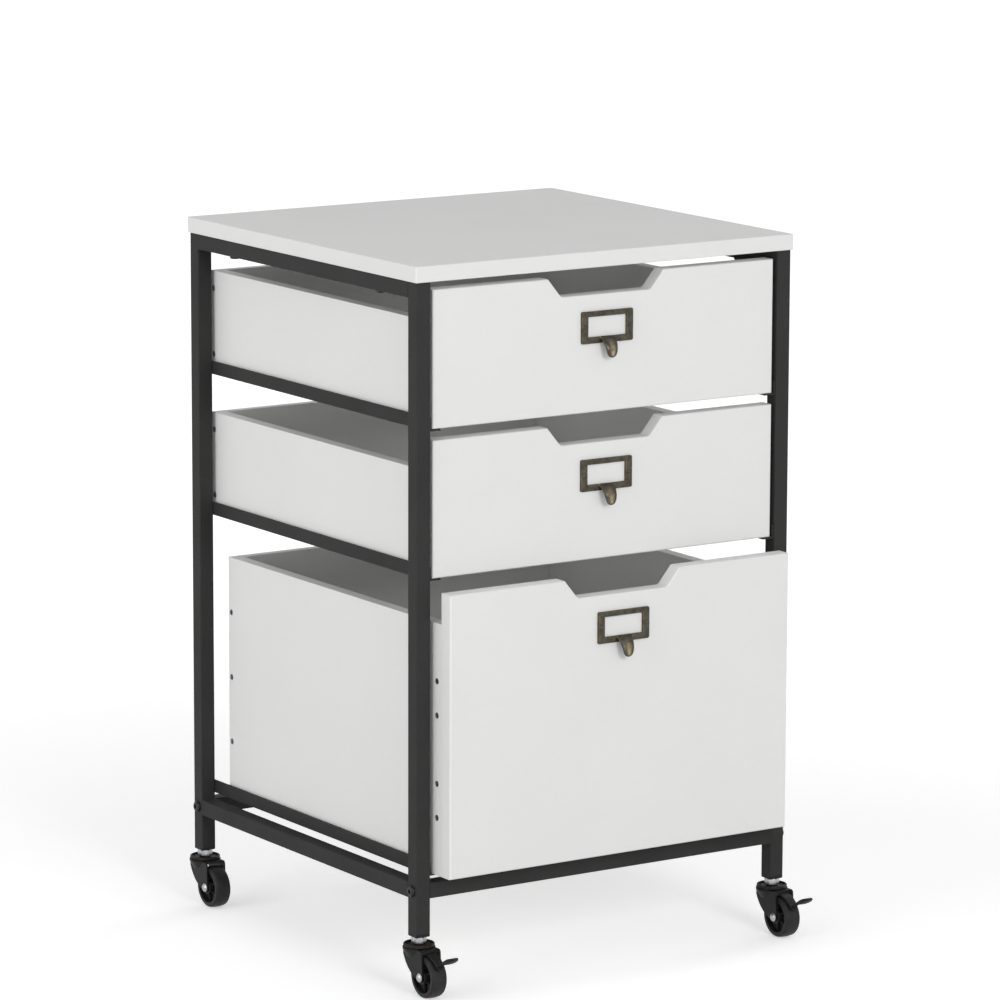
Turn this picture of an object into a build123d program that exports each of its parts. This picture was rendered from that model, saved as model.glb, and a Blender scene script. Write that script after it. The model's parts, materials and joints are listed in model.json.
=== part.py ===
from build123d import *
import math
import os

# Rolling drawer cart: a square-tube steel frame on four swivel casters, with a board top and three
# pull-out drawers that rest on angle runners.
# Millimetres. X runs to the right along the front, Y to the rear, Z up from the floor.
# The origin is on the floor, under the middle of the frame.

# Frame
frame_width = 415.0
frame_depth = 404.0
top_height = 675.0
tube_size = 15.0
tube_wall = 1.2
tube_corner = 1.0
tube_inner_corner = 0.4
lower_rail_height = 90.0

# Top panel and the screws that hold it from below
panel_thickness = 15.0
panel_overhang = 2.0
panel_corner = 1.5
panel_edge = 1.0
top_screw_span = 260.0
top_screw_radius = 2.2
top_screw_bite = 10.0
top_screw_head_radius = 5.0
top_screw_head_height = 2.6

# Bolts that tie the cross rails to the posts
bolt_radius = 3.0
bolt_head_radius = 5.25
bolt_head_height = 3.2
bolt_head_dome = 2.2
bolt_socket_flats = 4.0
bolt_socket_depth = 1.8
nut_plate_thickness = 6.0
bolt_tail = 2.0

# Angle runners
runner_height = 12.5
runner_width = 12.0
runner_thickness = 1.5
runner_stop_height = 7.0
lowest_runner_height = 111.0

# Drawer boxes
shallow_module_count = 1
deep_module_count = 2
top_gap = 7.8
front_thickness = 15.0
front_edge = 1.6
front_gap = 10.5
front_side_gap = 3.5
front_setback = 2.0
side_thickness = 12.0
back_thickness = 9.0
box_front_thickness = 15.0
side_drop = 29.0
drawer_rear_gap = 7.5
bottom_thickness = 4.0
groove_depth = 4.5
groove_height = 8.0
bottom_drawer_open = 30.0

# Grip notch in the upper edge of each front
notch_top_width = 128.0
notch_floor_width = 99.0
notch_depth = 17.5
notch_foot_radius = 6.0
notch_shoulder_radius = 8.0

# Drawer screws
screw_radius = 1.75
screw_head_radius = 2.9
countersink_angle = 82.0
screw_bite = 14.0
fixing_bite = 10.0
shallow_screw_edge = 17.0
deep_screw_edge = 54.0
fixing_screw_spacing = 240.0

# Label-frame pulls
label_width = 58.0
label_height = 29.0
label_thickness = 2.6
label_side_border = 8.5
label_top_border = 5.0
label_bottom_border = 6.0
label_corner = 1.5
label_edge = 0.6
label_drop = 33.5
tongue_width = 17.0
tongue_tip_width = 12.5
tongue_reach = 12.0
tongue_length = 19.0
tongue_swell = 0.72
tongue_slant = 45.0
tongue_thickness = 2.4
tongue_edge = 0.9
pin_radius = 1.0
pin_head_radius = 1.9
pin_head_height = 0.9
pin_head_taper = 30.0
pin_bite = 7.0

# Casters
wheel_diameter = 40.0
wheel_width = 16.0
wheel_rim = 5.0
wheel_web = 5.0
hub_radius = 6.5
tread_crown = 0.8
tread_corner = 2.4
axle_radius = 3.0
axle_head_radius = 4.2
axle_head_height = 2.2
hub_side_gap = 0.4
hub_proud = 0.4
caster_trail = 17.0
fork_plate = 1.8
cheek_rear = 10.4
cheek_boss = 4.8
cheek_boss_angle = 215.0
cheek_shoulder = 5.5
cheek_bulge = 3.6
cheek_corner = 3.0
cheek_setback = 1.5
crown_skirt = 8.0
crown_radius = 15.2
crown_clearance = 3.0
stem_radius = 4.0
stem_length = 22.0
rivet_radius = 6.5
rivet_height = 2.5
cup_radius = 14.5
cup_height = 3.2
cup_round = 0.7
cup_floor = 1.4
cup_wall = 1.6
nut_flats = 13.0
nut_height = 7.8
insert_flange = 3.3
insert_length = 24.0
insert_corner = 0.7
plug_corner = 0.8

# Brake levers of the front casters
brake_thickness = 1.4
brake_width = 12.0
brake_pin_radius = 1.0
brake_pin_forward = 0.8
brake_pin_room = 1.4
brake_shoe_gap = 2.4
brake_shoe_angle = 25.0
pedal_reach = 46.0
pedal_rise = 22.0
pedal_width = 11.0
pedal_corner = 5.4
pedal_bow = 2.8

# Fits
running_fit = 0.05
fixed_fit = 0.02
loose_fit = 0.2

# Places worked out from the sizes above
half_width = frame_width / 2
half_depth = frame_depth / 2
inner_half_width = half_width - tube_size
post_x = half_width - tube_size / 2
post_y = half_depth - tube_size / 2
frame_top = top_height - panel_thickness
top_rail_low = frame_top - tube_size
lower_rail_mid = lower_rail_height + tube_size / 2
rail_span_x = frame_width - 2 * tube_size
rail_span_y = frame_depth - 2 * tube_size

axle_height = wheel_diameter / 2
crown_low = wheel_diameter + crown_clearance
crown_top = crown_low + fork_plate
cup_low = crown_top + loose_fit
nut_low = cup_low + cup_floor
nut_top = nut_low + nut_height
leg_bottom = nut_top + insert_flange
hub_width = wheel_width + 2 * hub_proud
fork_inner = hub_width + 2 * hub_side_gap
fork_outer = fork_inner + 2 * fork_plate
cheek_front = caster_trail + cheek_boss
plate_front = cheek_front - cheek_setback - cheek_corner

screw_head_depth = (screw_head_radius - screw_radius) / math.tan(math.radians(countersink_angle / 2))
drawer_half_width = inner_half_width - front_side_gap
box_inner_half = drawer_half_width - side_thickness
front_face_y = -half_depth + front_setback
box_front_y = front_face_y + front_thickness
box_rear_y = half_depth - drawer_rear_gap
box_mid_y = (box_front_y + box_rear_y) / 2
box_length = box_rear_y - box_front_y
runner_rear_y = box_rear_y + loose_fit + runner_thickness

corners = {
    "front_left": (-1, -1),
    "front_right": (1, -1),
    "rear_left": (-1, 1),
    "rear_right": (1, 1),
}
braked_corners = ("front_left", "front_right")

# The drawers from the lowest up: name, how many modules tall, how far it stands open
stack = (
    ("bottom", deep_module_count, bottom_drawer_open),
    ("middle", shallow_module_count, 0.0),
    ("top", shallow_module_count, 0.0),
)
module_total = sum(count for _, count, _ in stack)
lowest_drawer = lowest_runner_height + runner_thickness + loose_fit
drawer_module = (frame_top - top_gap - lowest_drawer + front_gap) / module_total

# Each drawer: its name, the modules below it, the modules it fills, how far it stands open
drawers = []
modules_below = 0
for name, count, opened in stack:
    drawers.append((name, modules_below, count, opened))
    modules_below += count

os.makedirs("parts", exist_ok=True)


def save(piece, name):
    """Label a finished piece and write it out under its own name."""
    piece.part.label = name
    export_step(piece.part, f"parts/{name}.step")


def tube_profile():
    """Draw the rounded square tube in the current sketch."""
    inner = tube_size - 2 * tube_wall
    RectangleRounded(tube_size, tube_size, tube_corner)
    RectangleRounded(inner, inner, tube_inner_corner, mode=Mode.SUBTRACT)


def runner_low(modules):
    """Height of a runner's underside above the floor."""
    return lowest_runner_height + modules * drawer_module


def drawer_low(modules):
    """Height of a drawer's lower edge, just above the runner's shelf."""
    return runner_low(modules) + runner_thickness + loose_fit


def front_height(modules_filled):
    """Height of a drawer front that fills so many modules."""
    return modules_filled * drawer_module - front_gap


def side_height(modules_filled):
    """Height of a drawer's sides and back."""
    return front_height(modules_filled) - side_drop


def screw_heights(modules_filled, steps):
    """Heights above the drawer's lower edge, in even steps between its outermost screws."""
    edge = shallow_screw_edge if modules_filled == shallow_module_count else deep_screw_edge
    pitch = (side_height(modules_filled) - 2 * edge) / steps
    return [edge + step * pitch for step in range(steps + 1)]


def rear_screw_heights(modules_filled):
    """Heights of the rear screws above the drawer's lower edge."""
    return screw_heights(modules_filled, modules_filled)


def front_screw_heights(modules_filled):
    """Heights of the screws into the box front: even steps with the middle one left out."""
    heights = screw_heights(modules_filled, 2 * modules_filled)
    return heights[:modules_filled] + heights[modules_filled + 1:]


def screw_places(modules_filled):
    """Distance behind the applied front, and height, of every screw of one side."""
    front = [(box_front_thickness / 2, height) for height in front_screw_heights(modules_filled)]
    rear = [(box_length - back_thickness / 2, height) for height in rear_screw_heights(modules_filled)]
    return front + rear


# Top panel with pilot holes for its screws
with BuildPart() as top_panel:
    with BuildSketch(Plane.XY.offset(frame_top)):
        RectangleRounded(
            frame_width + 2 * panel_overhang, frame_depth + 2 * panel_overhang, panel_corner
        )
    extrude(amount=panel_thickness)
    fillet(top_panel.faces().sort_by(Axis.Z)[-1].edges(), panel_edge)
    fillet(top_panel.faces().sort_by(Axis.Z)[0].edges(), panel_edge)
    with BuildSketch(Plane.XY.offset(frame_top)):
        with GridLocations(2 * post_x, top_screw_span, 2, 2):
            Circle(top_screw_radius + fixed_fit)
    extrude(amount=top_screw_bite + loose_fit, mode=Mode.SUBTRACT)
save(top_panel, "top_panel")

# Corner posts, each drilled for one cross-rail bolt
for corner, (side_x, side_y) in corners.items():
    with BuildPart() as post:
        with BuildSketch(Plane.XY.offset(leg_bottom)):
            with Locations((side_x * post_x, side_y * post_y)):
                tube_profile()
        extrude(amount=frame_top - leg_bottom)
        with BuildSketch(Plane.YZ.offset(side_x * post_x - tube_size)):
            with Locations((side_y * post_y, lower_rail_mid)):
                Circle(bolt_radius + loose_fit)
        extrude(amount=2 * tube_size, mode=Mode.SUBTRACT)
    save(post, f"{corner}_post")

# Rails along both sides, at the top and near the floor
for name, side_x in (("left", -1), ("right", 1)):
    with BuildPart() as top_rail:
        with BuildSketch(Plane.XZ.offset(-rail_span_y / 2)):
            with Locations((side_x * post_x, frame_top - tube_size / 2)):
                tube_profile()
        extrude(amount=rail_span_y)
        with BuildSketch(Plane.XY.offset(top_rail_low)):
            with Locations((side_x * post_x, 0)):
                with GridLocations(0, top_screw_span, 1, 2):
                    Circle(top_screw_radius + loose_fit)
        extrude(amount=tube_size, mode=Mode.SUBTRACT)
    save(top_rail, f"{name}_top_rail")
    with BuildPart() as lower_rail:
        with BuildSketch(Plane.XZ.offset(-rail_span_y / 2)):
            with Locations((side_x * post_x, lower_rail_mid)):
                tube_profile()
        extrude(amount=rail_span_y)
    save(lower_rail, f"{name}_lower_rail")

# Cross rails between the two side frames, with a nut plate closing each end
for name, side_y in (("front", -1), ("rear", 1)):
    with BuildPart() as cross_rail:
        with BuildSketch(Plane.YZ.offset(-rail_span_x / 2)):
            with Locations((side_y * post_y, lower_rail_mid)):
                tube_profile()
        extrude(amount=rail_span_x)
        for plate_x in (-rail_span_x / 2, rail_span_x / 2 - nut_plate_thickness):
            with BuildSketch(Plane.YZ.offset(plate_x)):
                with Locations((side_y * post_y, lower_rail_mid)):
                    Rectangle(tube_size - tube_wall, tube_size - tube_wall)
                    Circle(bolt_radius + fixed_fit, mode=Mode.SUBTRACT)
            extrude(amount=nut_plate_thickness)
    save(cross_rail, f"{name}_cross_rail")

# Button-head bolts through the posts into the cross rails
with BuildPart() as frame_bolts:
    for side_x, side_y in corners.values():
        bolt_plane = Plane(
            origin=(side_x * half_width, side_y * post_y, lower_rail_mid),
            x_dir=(0, 1, 0),
            z_dir=(side_x, 0, 0),
        )
        with BuildSketch(bolt_plane):
            Circle(bolt_head_radius)
        extrude(amount=bolt_head_height)
        with BuildSketch(bolt_plane):
            Circle(bolt_radius)
        extrude(amount=-(tube_size + nut_plate_thickness + bolt_tail))
    outer_rims = frame_bolts.faces().filter_by(Axis.X).group_by(SortBy.AREA)[-1].edges()
    crowns = [edge for edge in outer_rims if abs(edge.center().X) > half_width + bolt_head_height / 2]
    fillet(crowns, bolt_head_dome)
    for side_x, side_y in corners.values():
        socket_plane = Plane(
            origin=(side_x * (half_width + bolt_head_height), side_y * post_y, lower_rail_mid),
            x_dir=(0, 1, 0),
            z_dir=(side_x, 0, 0),
        )
        with BuildSketch(socket_plane):
            RegularPolygon(bolt_socket_flats / 2, 6, major_radius=False)
        extrude(amount=-bolt_socket_depth, mode=Mode.SUBTRACT)
save(frame_bolts, "frame_bolts")

# Pan-head screws up through the top rails into the panel
with BuildPart() as top_screws:
    with BuildSketch(Plane.XY.offset(top_rail_low - top_screw_head_height)):
        with GridLocations(2 * post_x, top_screw_span, 2, 2):
            Circle(top_screw_head_radius)
    extrude(amount=top_screw_head_height)
    fillet(top_screws.edges().group_by(Axis.Z)[0], top_screw_head_height / 2)
    with BuildSketch(Plane.XY.offset(top_rail_low)):
        with GridLocations(2 * post_x, top_screw_span, 2, 2):
            Circle(top_screw_radius)
    extrude(amount=tube_size + top_screw_bite)
save(top_screws, "top_screws")

# Angle runners with a folded stop at the rear, a pair for each drawer
for name, modules, modules_filled, opened in drawers:
    with BuildPart() as runners:
        for side_x in (-1, 1):
            low = runner_low(modules)
            shelf_top = low + runner_thickness
            leg_top = low + runner_height
            wall_x = side_x * inner_half_width
            leg_x = wall_x - side_x * runner_thickness
            shelf_x = wall_x - side_x * runner_width
            with BuildSketch(Plane.XZ.offset(-runner_rear_y)):
                with BuildLine():
                    Polyline(
                        (wall_x, low),
                        (shelf_x, low),
                        (shelf_x, shelf_top),
                        (leg_x, shelf_top),
                        (leg_x, leg_top),
                        (wall_x, leg_top),
                        close=True,
                    )
                make_face()
            extrude(amount=runner_rear_y - front_face_y)
            with BuildSketch(Plane.XZ.offset(-runner_rear_y)):
                with Locations(((wall_x + shelf_x) / 2, low + runner_stop_height / 2)):
                    Rectangle(runner_width, runner_stop_height)
            extrude(amount=runner_thickness)
    save(runners, f"{name}_runners")


def fixing_places(modules, modules_filled, head_y):
    """Where the screws that hold the applied front have their heads."""
    rows = [drawer_low(modules) + height for height in rear_screw_heights(modules_filled)]
    columns = (-fixing_screw_spacing / 2, fixing_screw_spacing / 2)
    return [(x, head_y, z) for x in columns for z in rows]


def make_front(name, modules, modules_filled, opened):
    """An applied drawer front with its grip notch and the holes for its screws and pull pins."""
    low = drawer_low(modules)
    high = low + front_height(modules_filled)
    face_y = front_face_y - opened
    label_mid = high - label_drop - label_height / 2
    with BuildPart() as front:
        with BuildSketch(Plane.XZ.offset(-face_y - front_thickness)) as outline:
            with Locations((0, (low + high) / 2)):
                Rectangle(2 * drawer_half_width, high - low)
            with BuildLine():
                Polyline(
                    (-notch_top_width / 2, high),
                    (-notch_floor_width / 2, high - notch_depth),
                    (notch_floor_width / 2, high - notch_depth),
                    (notch_top_width / 2, high),
                    close=True,
                )
            make_face(mode=Mode.SUBTRACT)
            inner_points = [p for p in outline.vertices() if abs(p.X) < drawer_half_width - front_edge]
            feet = [p for p in inner_points if p.Y < high - notch_depth / 2]
            shoulders = [p for p in inner_points if p.Y > high - notch_depth / 2]
            fillet(feet, notch_foot_radius)
            fillet(shoulders, notch_shoulder_radius)
        extrude(amount=front_thickness)
        fillet(front.faces().sort_by(Axis.Y)[0].edges(), front_edge)
        with BuildSketch(Plane.XZ.offset(-face_y - front_thickness)):
            with Locations([(x, z) for x, y, z in fixing_places(modules, modules_filled, face_y)]):
                Circle(screw_radius + fixed_fit)
        extrude(amount=fixing_bite + loose_fit, mode=Mode.SUBTRACT)
        with BuildSketch(Plane.XZ.offset(-face_y)):
            with Locations((0, label_mid)):
                with GridLocations(label_width - label_side_border, 0, 2, 1):
                    Circle(pin_radius + fixed_fit)
        extrude(amount=-(pin_bite + loose_fit), mode=Mode.SUBTRACT)
    save(front, f"{name}_drawer_front")


def make_side(name, side_name, side_x, modules, modules_filled, opened):
    """A drawer side with its bottom groove and countersunk screw holes."""
    low = drawer_low(modules)
    height = side_height(modules_filled)
    inner_x = side_x * box_inner_half
    outer_x = side_x * drawer_half_width
    mid_x = (inner_x + outer_x) / 2
    with BuildPart() as side:
        with BuildSketch(Plane.XY.offset(low)):
            with Locations((mid_x, box_mid_y - opened)):
                Rectangle(side_thickness, box_length)
        extrude(amount=height)
        with BuildSketch(Plane.XY.offset(low + groove_height - running_fit)):
            with Locations((inner_x + side_x * groove_depth / 2, box_mid_y - opened)):
                Rectangle(groove_depth, box_length)
        extrude(amount=bottom_thickness + 2 * running_fit, mode=Mode.SUBTRACT)
        for along, above in screw_places(modules_filled):
            hole_plane = Plane(
                origin=(outer_x, box_front_y - opened + along, low + above),
                x_dir=(0, 1, 0),
                z_dir=(side_x, 0, 0),
            )
            with Locations(hole_plane):
                CounterSinkHole(
                    screw_radius + fixed_fit,
                    screw_head_radius + fixed_fit,
                    side_thickness,
                    countersink_angle,
                )
    save(side, f"{name}_drawer_{side_name}_side")


def make_cross_board(name, piece, modules, modules_filled, board_y, thickness, groove_y):
    """The box front or back of a drawer: grooved for the bottom, with pilot holes in its ends."""
    low = drawer_low(modules)
    if piece == "back":
        heights = rear_screw_heights(modules_filled)
    else:
        heights = front_screw_heights(modules_filled)
    with BuildPart() as board:
        with BuildSketch(Plane.XY.offset(low)):
            with Locations((0, board_y)):
                Rectangle(2 * box_inner_half, thickness)
        extrude(amount=side_height(modules_filled))
        with BuildSketch(Plane.XY.offset(low + groove_height - running_fit)):
            with Locations((0, groove_y)):
                Rectangle(2 * box_inner_half, groove_depth)
        extrude(amount=bottom_thickness + 2 * running_fit, mode=Mode.SUBTRACT)
        for side_x in (-1, 1):
            with BuildSketch(Plane.YZ.offset(side_x * box_inner_half)):
                with Locations([(board_y, low + above) for above in heights]):
                    Circle(screw_radius + fixed_fit)
            extrude(amount=-side_x * (screw_bite + loose_fit), mode=Mode.SUBTRACT)
        if piece == "box_front":
            for place in fixing_places(modules, modules_filled, board_y + thickness / 2):
                with Locations(Plane(origin=place, x_dir=(1, 0, 0), z_dir=(0, 1, 0))):
                    CounterSinkHole(
                        screw_radius + fixed_fit,
                        screw_head_radius + fixed_fit,
                        thickness,
                        countersink_angle,
                    )
    save(board, f"{name}_drawer_{piece}")


def make_bottom(name, modules, opened):
    """A thin drawer bottom held in the grooves."""
    width = 2 * (box_inner_half + groove_depth - loose_fit)
    front_y = box_front_y - opened + box_front_thickness - groove_depth + loose_fit
    rear_y = box_rear_y - opened - back_thickness + groove_depth - loose_fit
    with BuildPart() as bottom:
        with BuildSketch(Plane.XY.offset(drawer_low(modules) + groove_height)):
            with Locations((0, (front_y + rear_y) / 2)):
                Rectangle(width, rear_y - front_y)
        extrude(amount=bottom_thickness)
    save(bottom, f"{name}_drawer_bottom")


def make_screws(name, modules, modules_filled, opened):
    """Countersunk screws: through both sides, and through the box front into the applied front."""
    low = drawer_low(modules)
    heads = []
    for side_x in (-1, 1):
        for along, above in screw_places(modules_filled):
            place = (side_x * drawer_half_width, box_front_y - opened + along, low + above)
            heads.append((place, (-side_x, 0, 0), (0, -side_x, 0), side_thickness + screw_bite))
    inside_y = box_front_y - opened + box_front_thickness
    for place in fixing_places(modules, modules_filled, inside_y):
        heads.append((place, (0, -1, 0), (1, 0, 0), box_front_thickness + fixing_bite))
    with BuildPart() as screws:
        for place, inward, across, length in heads:
            with BuildSketch(Plane(origin=place, x_dir=inward, z_dir=across)):
                with BuildLine():
                    Polyline(
                        (0, 0),
                        (0, screw_head_radius),
                        (screw_head_depth, screw_radius),
                        (length, screw_radius),
                        (length, 0),
                        close=True,
                    )
                make_face()
            revolve(axis=Axis(place, inward))
    save(screws, f"{name}_drawer_screws")


def make_label_pull(name, modules, modules_filled, opened):
    """A label frame with a curved finger tongue below its window."""
    high = drawer_low(modules) + front_height(modules_filled)
    face_y = front_face_y - opened
    label_top = high - label_drop
    label_low = label_top - label_height
    label_mid = (label_top + label_low) / 2
    window_width = label_width - 2 * label_side_border
    window_height = label_height - label_top_border - label_bottom_border
    window_mid = label_low + label_bottom_border + window_height / 2
    root_z = label_low + label_bottom_border
    tip_z = root_z - tongue_length
    root_y = face_y - label_thickness
    tip_y = face_y - tongue_reach
    swell_y = root_y + tongue_swell * (tip_y - root_y)
    swell_z = root_z - tongue_length / 2
    shift = tongue_thickness * math.cos(math.radians(tongue_slant))
    with BuildPart() as tongue:
        with BuildSketch(Plane.YZ.offset(-tongue_width / 2)):
            with BuildLine():
                ThreePointArc((root_y, root_z), (swell_y, swell_z), (tip_y, tip_z))
                Line((tip_y, tip_z), (tip_y + tongue_thickness, tip_z))
                ThreePointArc(
                    (tip_y + tongue_thickness, tip_z),
                    (swell_y + shift, swell_z - shift),
                    (root_y, label_low),
                )
                Polyline((root_y, label_low), (face_y, label_low), (face_y, root_z), (root_y, root_z))
            make_face()
        extrude(amount=tongue_width)
        with BuildSketch(Plane.XZ.offset(-face_y)):
            with BuildLine():
                tip_radius = tongue_tip_width / 2
                Line((-tongue_width / 2, root_z), (tongue_width / 2, root_z))
                Line((tongue_width / 2, root_z), (tip_radius, tip_z + tip_radius))
                ThreePointArc(
                    (tip_radius, tip_z + tip_radius), (0, tip_z), (-tip_radius, tip_z + tip_radius)
                )
                Line((-tip_radius, tip_z + tip_radius), (-tongue_width / 2, root_z))
            make_face()
        extrude(amount=2 * tongue_reach, mode=Mode.INTERSECT)
        outer_faces = tongue.faces().filter_by(lambda face: face.center().Z < label_low + tongue_edge)
        rims = outer_faces.edges().filter_by(lambda edge: edge.center().Y < root_y - tongue_edge)
        fillet(rims, tongue_edge)
    with BuildPart() as pull:
        with BuildSketch(Plane.XZ.offset(-face_y)):
            with Locations((0, label_mid)):
                RectangleRounded(label_width, label_height, label_corner)
            with Locations((0, window_mid)):
                Rectangle(window_width, window_height, mode=Mode.SUBTRACT)
        extrude(amount=label_thickness)
        chamfer(pull.faces().sort_by(Axis.Y)[0].edges(), label_edge)
        add(tongue.part)
        with BuildSketch(Plane.XZ.offset(-face_y)):
            with Locations((0, label_mid)):
                with GridLocations(label_width - label_side_border, 0, 2, 1):
                    Circle(pin_radius + fixed_fit)
        extrude(amount=label_thickness, mode=Mode.SUBTRACT)
    save(pull, f"{name}_label_pull")
    with BuildPart() as pins:
        with BuildSketch(Plane.XZ.offset(-face_y + label_thickness)):
            with Locations((0, label_mid)):
                with GridLocations(label_width - label_side_border, 0, 2, 1):
                    Circle(pin_head_radius)
        extrude(amount=pin_head_height, taper=pin_head_taper)
        with BuildSketch(Plane.XZ.offset(-face_y + label_thickness)):
            with Locations((0, label_mid)):
                with GridLocations(label_width - label_side_border, 0, 2, 1):
                    Circle(pin_radius)
        extrude(amount=-(label_thickness + pin_bite))
    save(pins, f"{name}_label_pins")


for name, modules, modules_filled, opened in drawers:
    make_front(name, modules, modules_filled, opened)
    make_side(name, "left", -1, modules, modules_filled, opened)
    make_side(name, "right", 1, modules, modules_filled, opened)
    inside_front_y = box_front_y - opened + box_front_thickness
    inside_back_y = box_rear_y - opened - back_thickness
    make_cross_board(
        name,
        "box_front",
        modules,
        modules_filled,
        inside_front_y - box_front_thickness / 2,
        box_front_thickness,
        inside_front_y - groove_depth / 2,
    )
    make_cross_board(
        name,
        "back",
        modules,
        modules_filled,
        inside_back_y + back_thickness / 2,
        back_thickness,
        inside_back_y + groove_depth / 2,
    )
    make_bottom(name, modules, opened)
    make_screws(name, modules, modules_filled, opened)
    make_label_pull(name, modules, modules_filled, opened)

# Plastic plugs in the feet of the posts, bored for the caster stems
with BuildPart() as leg_inserts:
    for side_x, side_y in corners.values():
        with BuildSketch(Plane.XY.offset(nut_top)):
            with Locations((side_x * post_x, side_y * post_y)):
                RectangleRounded(tube_size, tube_size, tube_corner)
        extrude(amount=insert_flange)
    chamfer(leg_inserts.faces().filter_by(Axis.Z).group_by(Axis.Z)[0].edges(), insert_corner)
    for side_x, side_y in corners.values():
        with BuildSketch(Plane.XY.offset(leg_bottom)):
            with Locations((side_x * post_x, side_y * post_y)):
                plug = tube_size - 2 * tube_wall - 2 * running_fit
                RectangleRounded(plug, plug, plug_corner)
        extrude(amount=insert_length)
    for side_x, side_y in corners.values():
        with BuildSketch(Plane.XY.offset(nut_top)):
            with Locations((side_x * post_x, side_y * post_y)):
                Circle(stem_radius + fixed_fit)
        extrude(amount=stem_length + loose_fit, mode=Mode.SUBTRACT)
save(leg_inserts, "leg_inserts")

# Caster stems: riveted foot, bearing cup, hex collar and the stud that screws into the plug
with BuildPart() as caster_stems:
    for side_x, side_y in corners.values():
        place = (side_x * post_x, side_y * post_y, 0)
        with BuildSketch(Plane(origin=place, x_dir=(1, 0, 0), z_dir=(0, -1, 0))):
            with BuildLine():
                Polyline(
                    (0, crown_low - loose_fit - rivet_height),
                    (rivet_radius, crown_low - loose_fit - rivet_height),
                    (rivet_radius, crown_low - loose_fit),
                    (stem_radius, crown_low - loose_fit),
                    (stem_radius, cup_low),
                    (cup_radius, cup_low),
                    (cup_radius, cup_low + cup_height),
                    (cup_radius - cup_wall, cup_low + cup_height),
                    (cup_radius - cup_wall, nut_low),
                    (stem_radius, nut_low),
                    (stem_radius, nut_top + stem_length),
                    (0, nut_top + stem_length),
                    close=True,
                )
            make_face()
        revolve(axis=Axis(place, (0, 0, 1)))
    outer_rims = [
        edge
        for edge in caster_stems.edges().filter_by(GeomType.CIRCLE)
        if abs(edge.radius - cup_radius) < cup_round
    ]
    fillet(outer_rims, cup_round)
    for side_x, side_y in corners.values():
        with BuildSketch(Plane.XY.offset(nut_low)):
            with Locations((side_x * post_x, side_y * post_y)):
                RegularPolygon(nut_flats / 2, 6, major_radius=False)
        extrude(amount=nut_height)
save(caster_stems, "caster_stems")

# Brake pivot and lever, measured forward of the axle and up from it
tread_radius = wheel_diameter / 2
brake_pin_up = tread_radius + brake_pin_room
shoe_radius = tread_radius + brake_shoe_gap + brake_thickness / 2
pin_distance = math.hypot(brake_pin_forward, brake_pin_up)
pin_angle = math.degrees(math.atan2(brake_pin_up, brake_pin_forward))


def from_axle(centre_y, distance, angle):
    """A point in the wheel's plane, at a distance and an angle forward of the axle."""
    forward = distance * math.cos(math.radians(angle))
    up = distance * math.sin(math.radians(angle))
    return (centre_y - forward, axle_height + up)


def make_fork(corner, centre_x, centre_y):
    """A pressed swivel fork: a round crown that flows down into two swept cheeks."""
    axle_y = centre_y - caster_trail
    boss_rear = from_axle(axle_y, cheek_boss, cheek_boss_angle)
    shoulder = (centre_y + cheek_rear, crown_low - cheek_shoulder)
    with BuildPart() as fork:
        with BuildSketch(Plane(origin=(centre_x, centre_y, 0), x_dir=(1, 0, 0), z_dir=(0, -1, 0))):
            with BuildLine():
                Polyline(
                    (fork_inner / 2, crown_low - crown_skirt),
                    (fork_outer / 2, crown_low - crown_skirt),
                    (crown_radius, crown_low),
                    (crown_radius - fork_plate, crown_low),
                    close=True,
                )
            make_face()
        revolve(axis=Axis((centre_x, centre_y, 0), (0, 0, 1)))
        with BuildSketch(Plane.XY.offset(crown_low - crown_skirt)):
            with Locations((centre_x, centre_y - cheek_front / 2)):
                Rectangle(fork_inner, cheek_front + 2 * crown_radius)
        extrude(amount=crown_skirt, mode=Mode.SUBTRACT)
        with BuildSketch(Plane.XY.offset(crown_low)):
            with Locations((centre_x, centre_y)):
                Circle(crown_radius)
            with Locations((centre_x, centre_y - plate_front / 2)):
                Rectangle(fork_outer, plate_front)
            with Locations((centre_x, centre_y)):
                Circle(stem_radius + running_fit, mode=Mode.SUBTRACT)
        extrude(amount=fork_plate)
        for cheek_x in (centre_x - fork_outer / 2, centre_x + fork_inner / 2):
            with BuildSketch(Plane.YZ.offset(cheek_x)) as cheek:
                with BuildLine():
                    Polyline(
                        shoulder,
                        (centre_y + cheek_rear, crown_top),
                        (centre_y - cheek_front + cheek_setback, crown_top),
                        (centre_y - cheek_front, axle_height),
                    )
                    ThreePointArc(
                        (centre_y - cheek_front, axle_height),
                        (axle_y, axle_height - cheek_boss),
                        boss_rear,
                    )
                    SagittaArc(boss_rear, shoulder, -cheek_bulge)
                make_face()
                fillet(cheek.vertices().group_by(Axis.Y)[-1].sort_by(Axis.X)[0], cheek_corner)
                with Locations((axle_y, axle_height)):
                    Circle(axle_radius + fixed_fit, mode=Mode.SUBTRACT)
                if corner in braked_corners:
                    with Locations((axle_y - brake_pin_forward, axle_height + brake_pin_up)):
                        Circle(brake_pin_radius + running_fit, mode=Mode.SUBTRACT)
            extrude(amount=fork_plate)
    save(fork, f"{corner}_fork")


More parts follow.
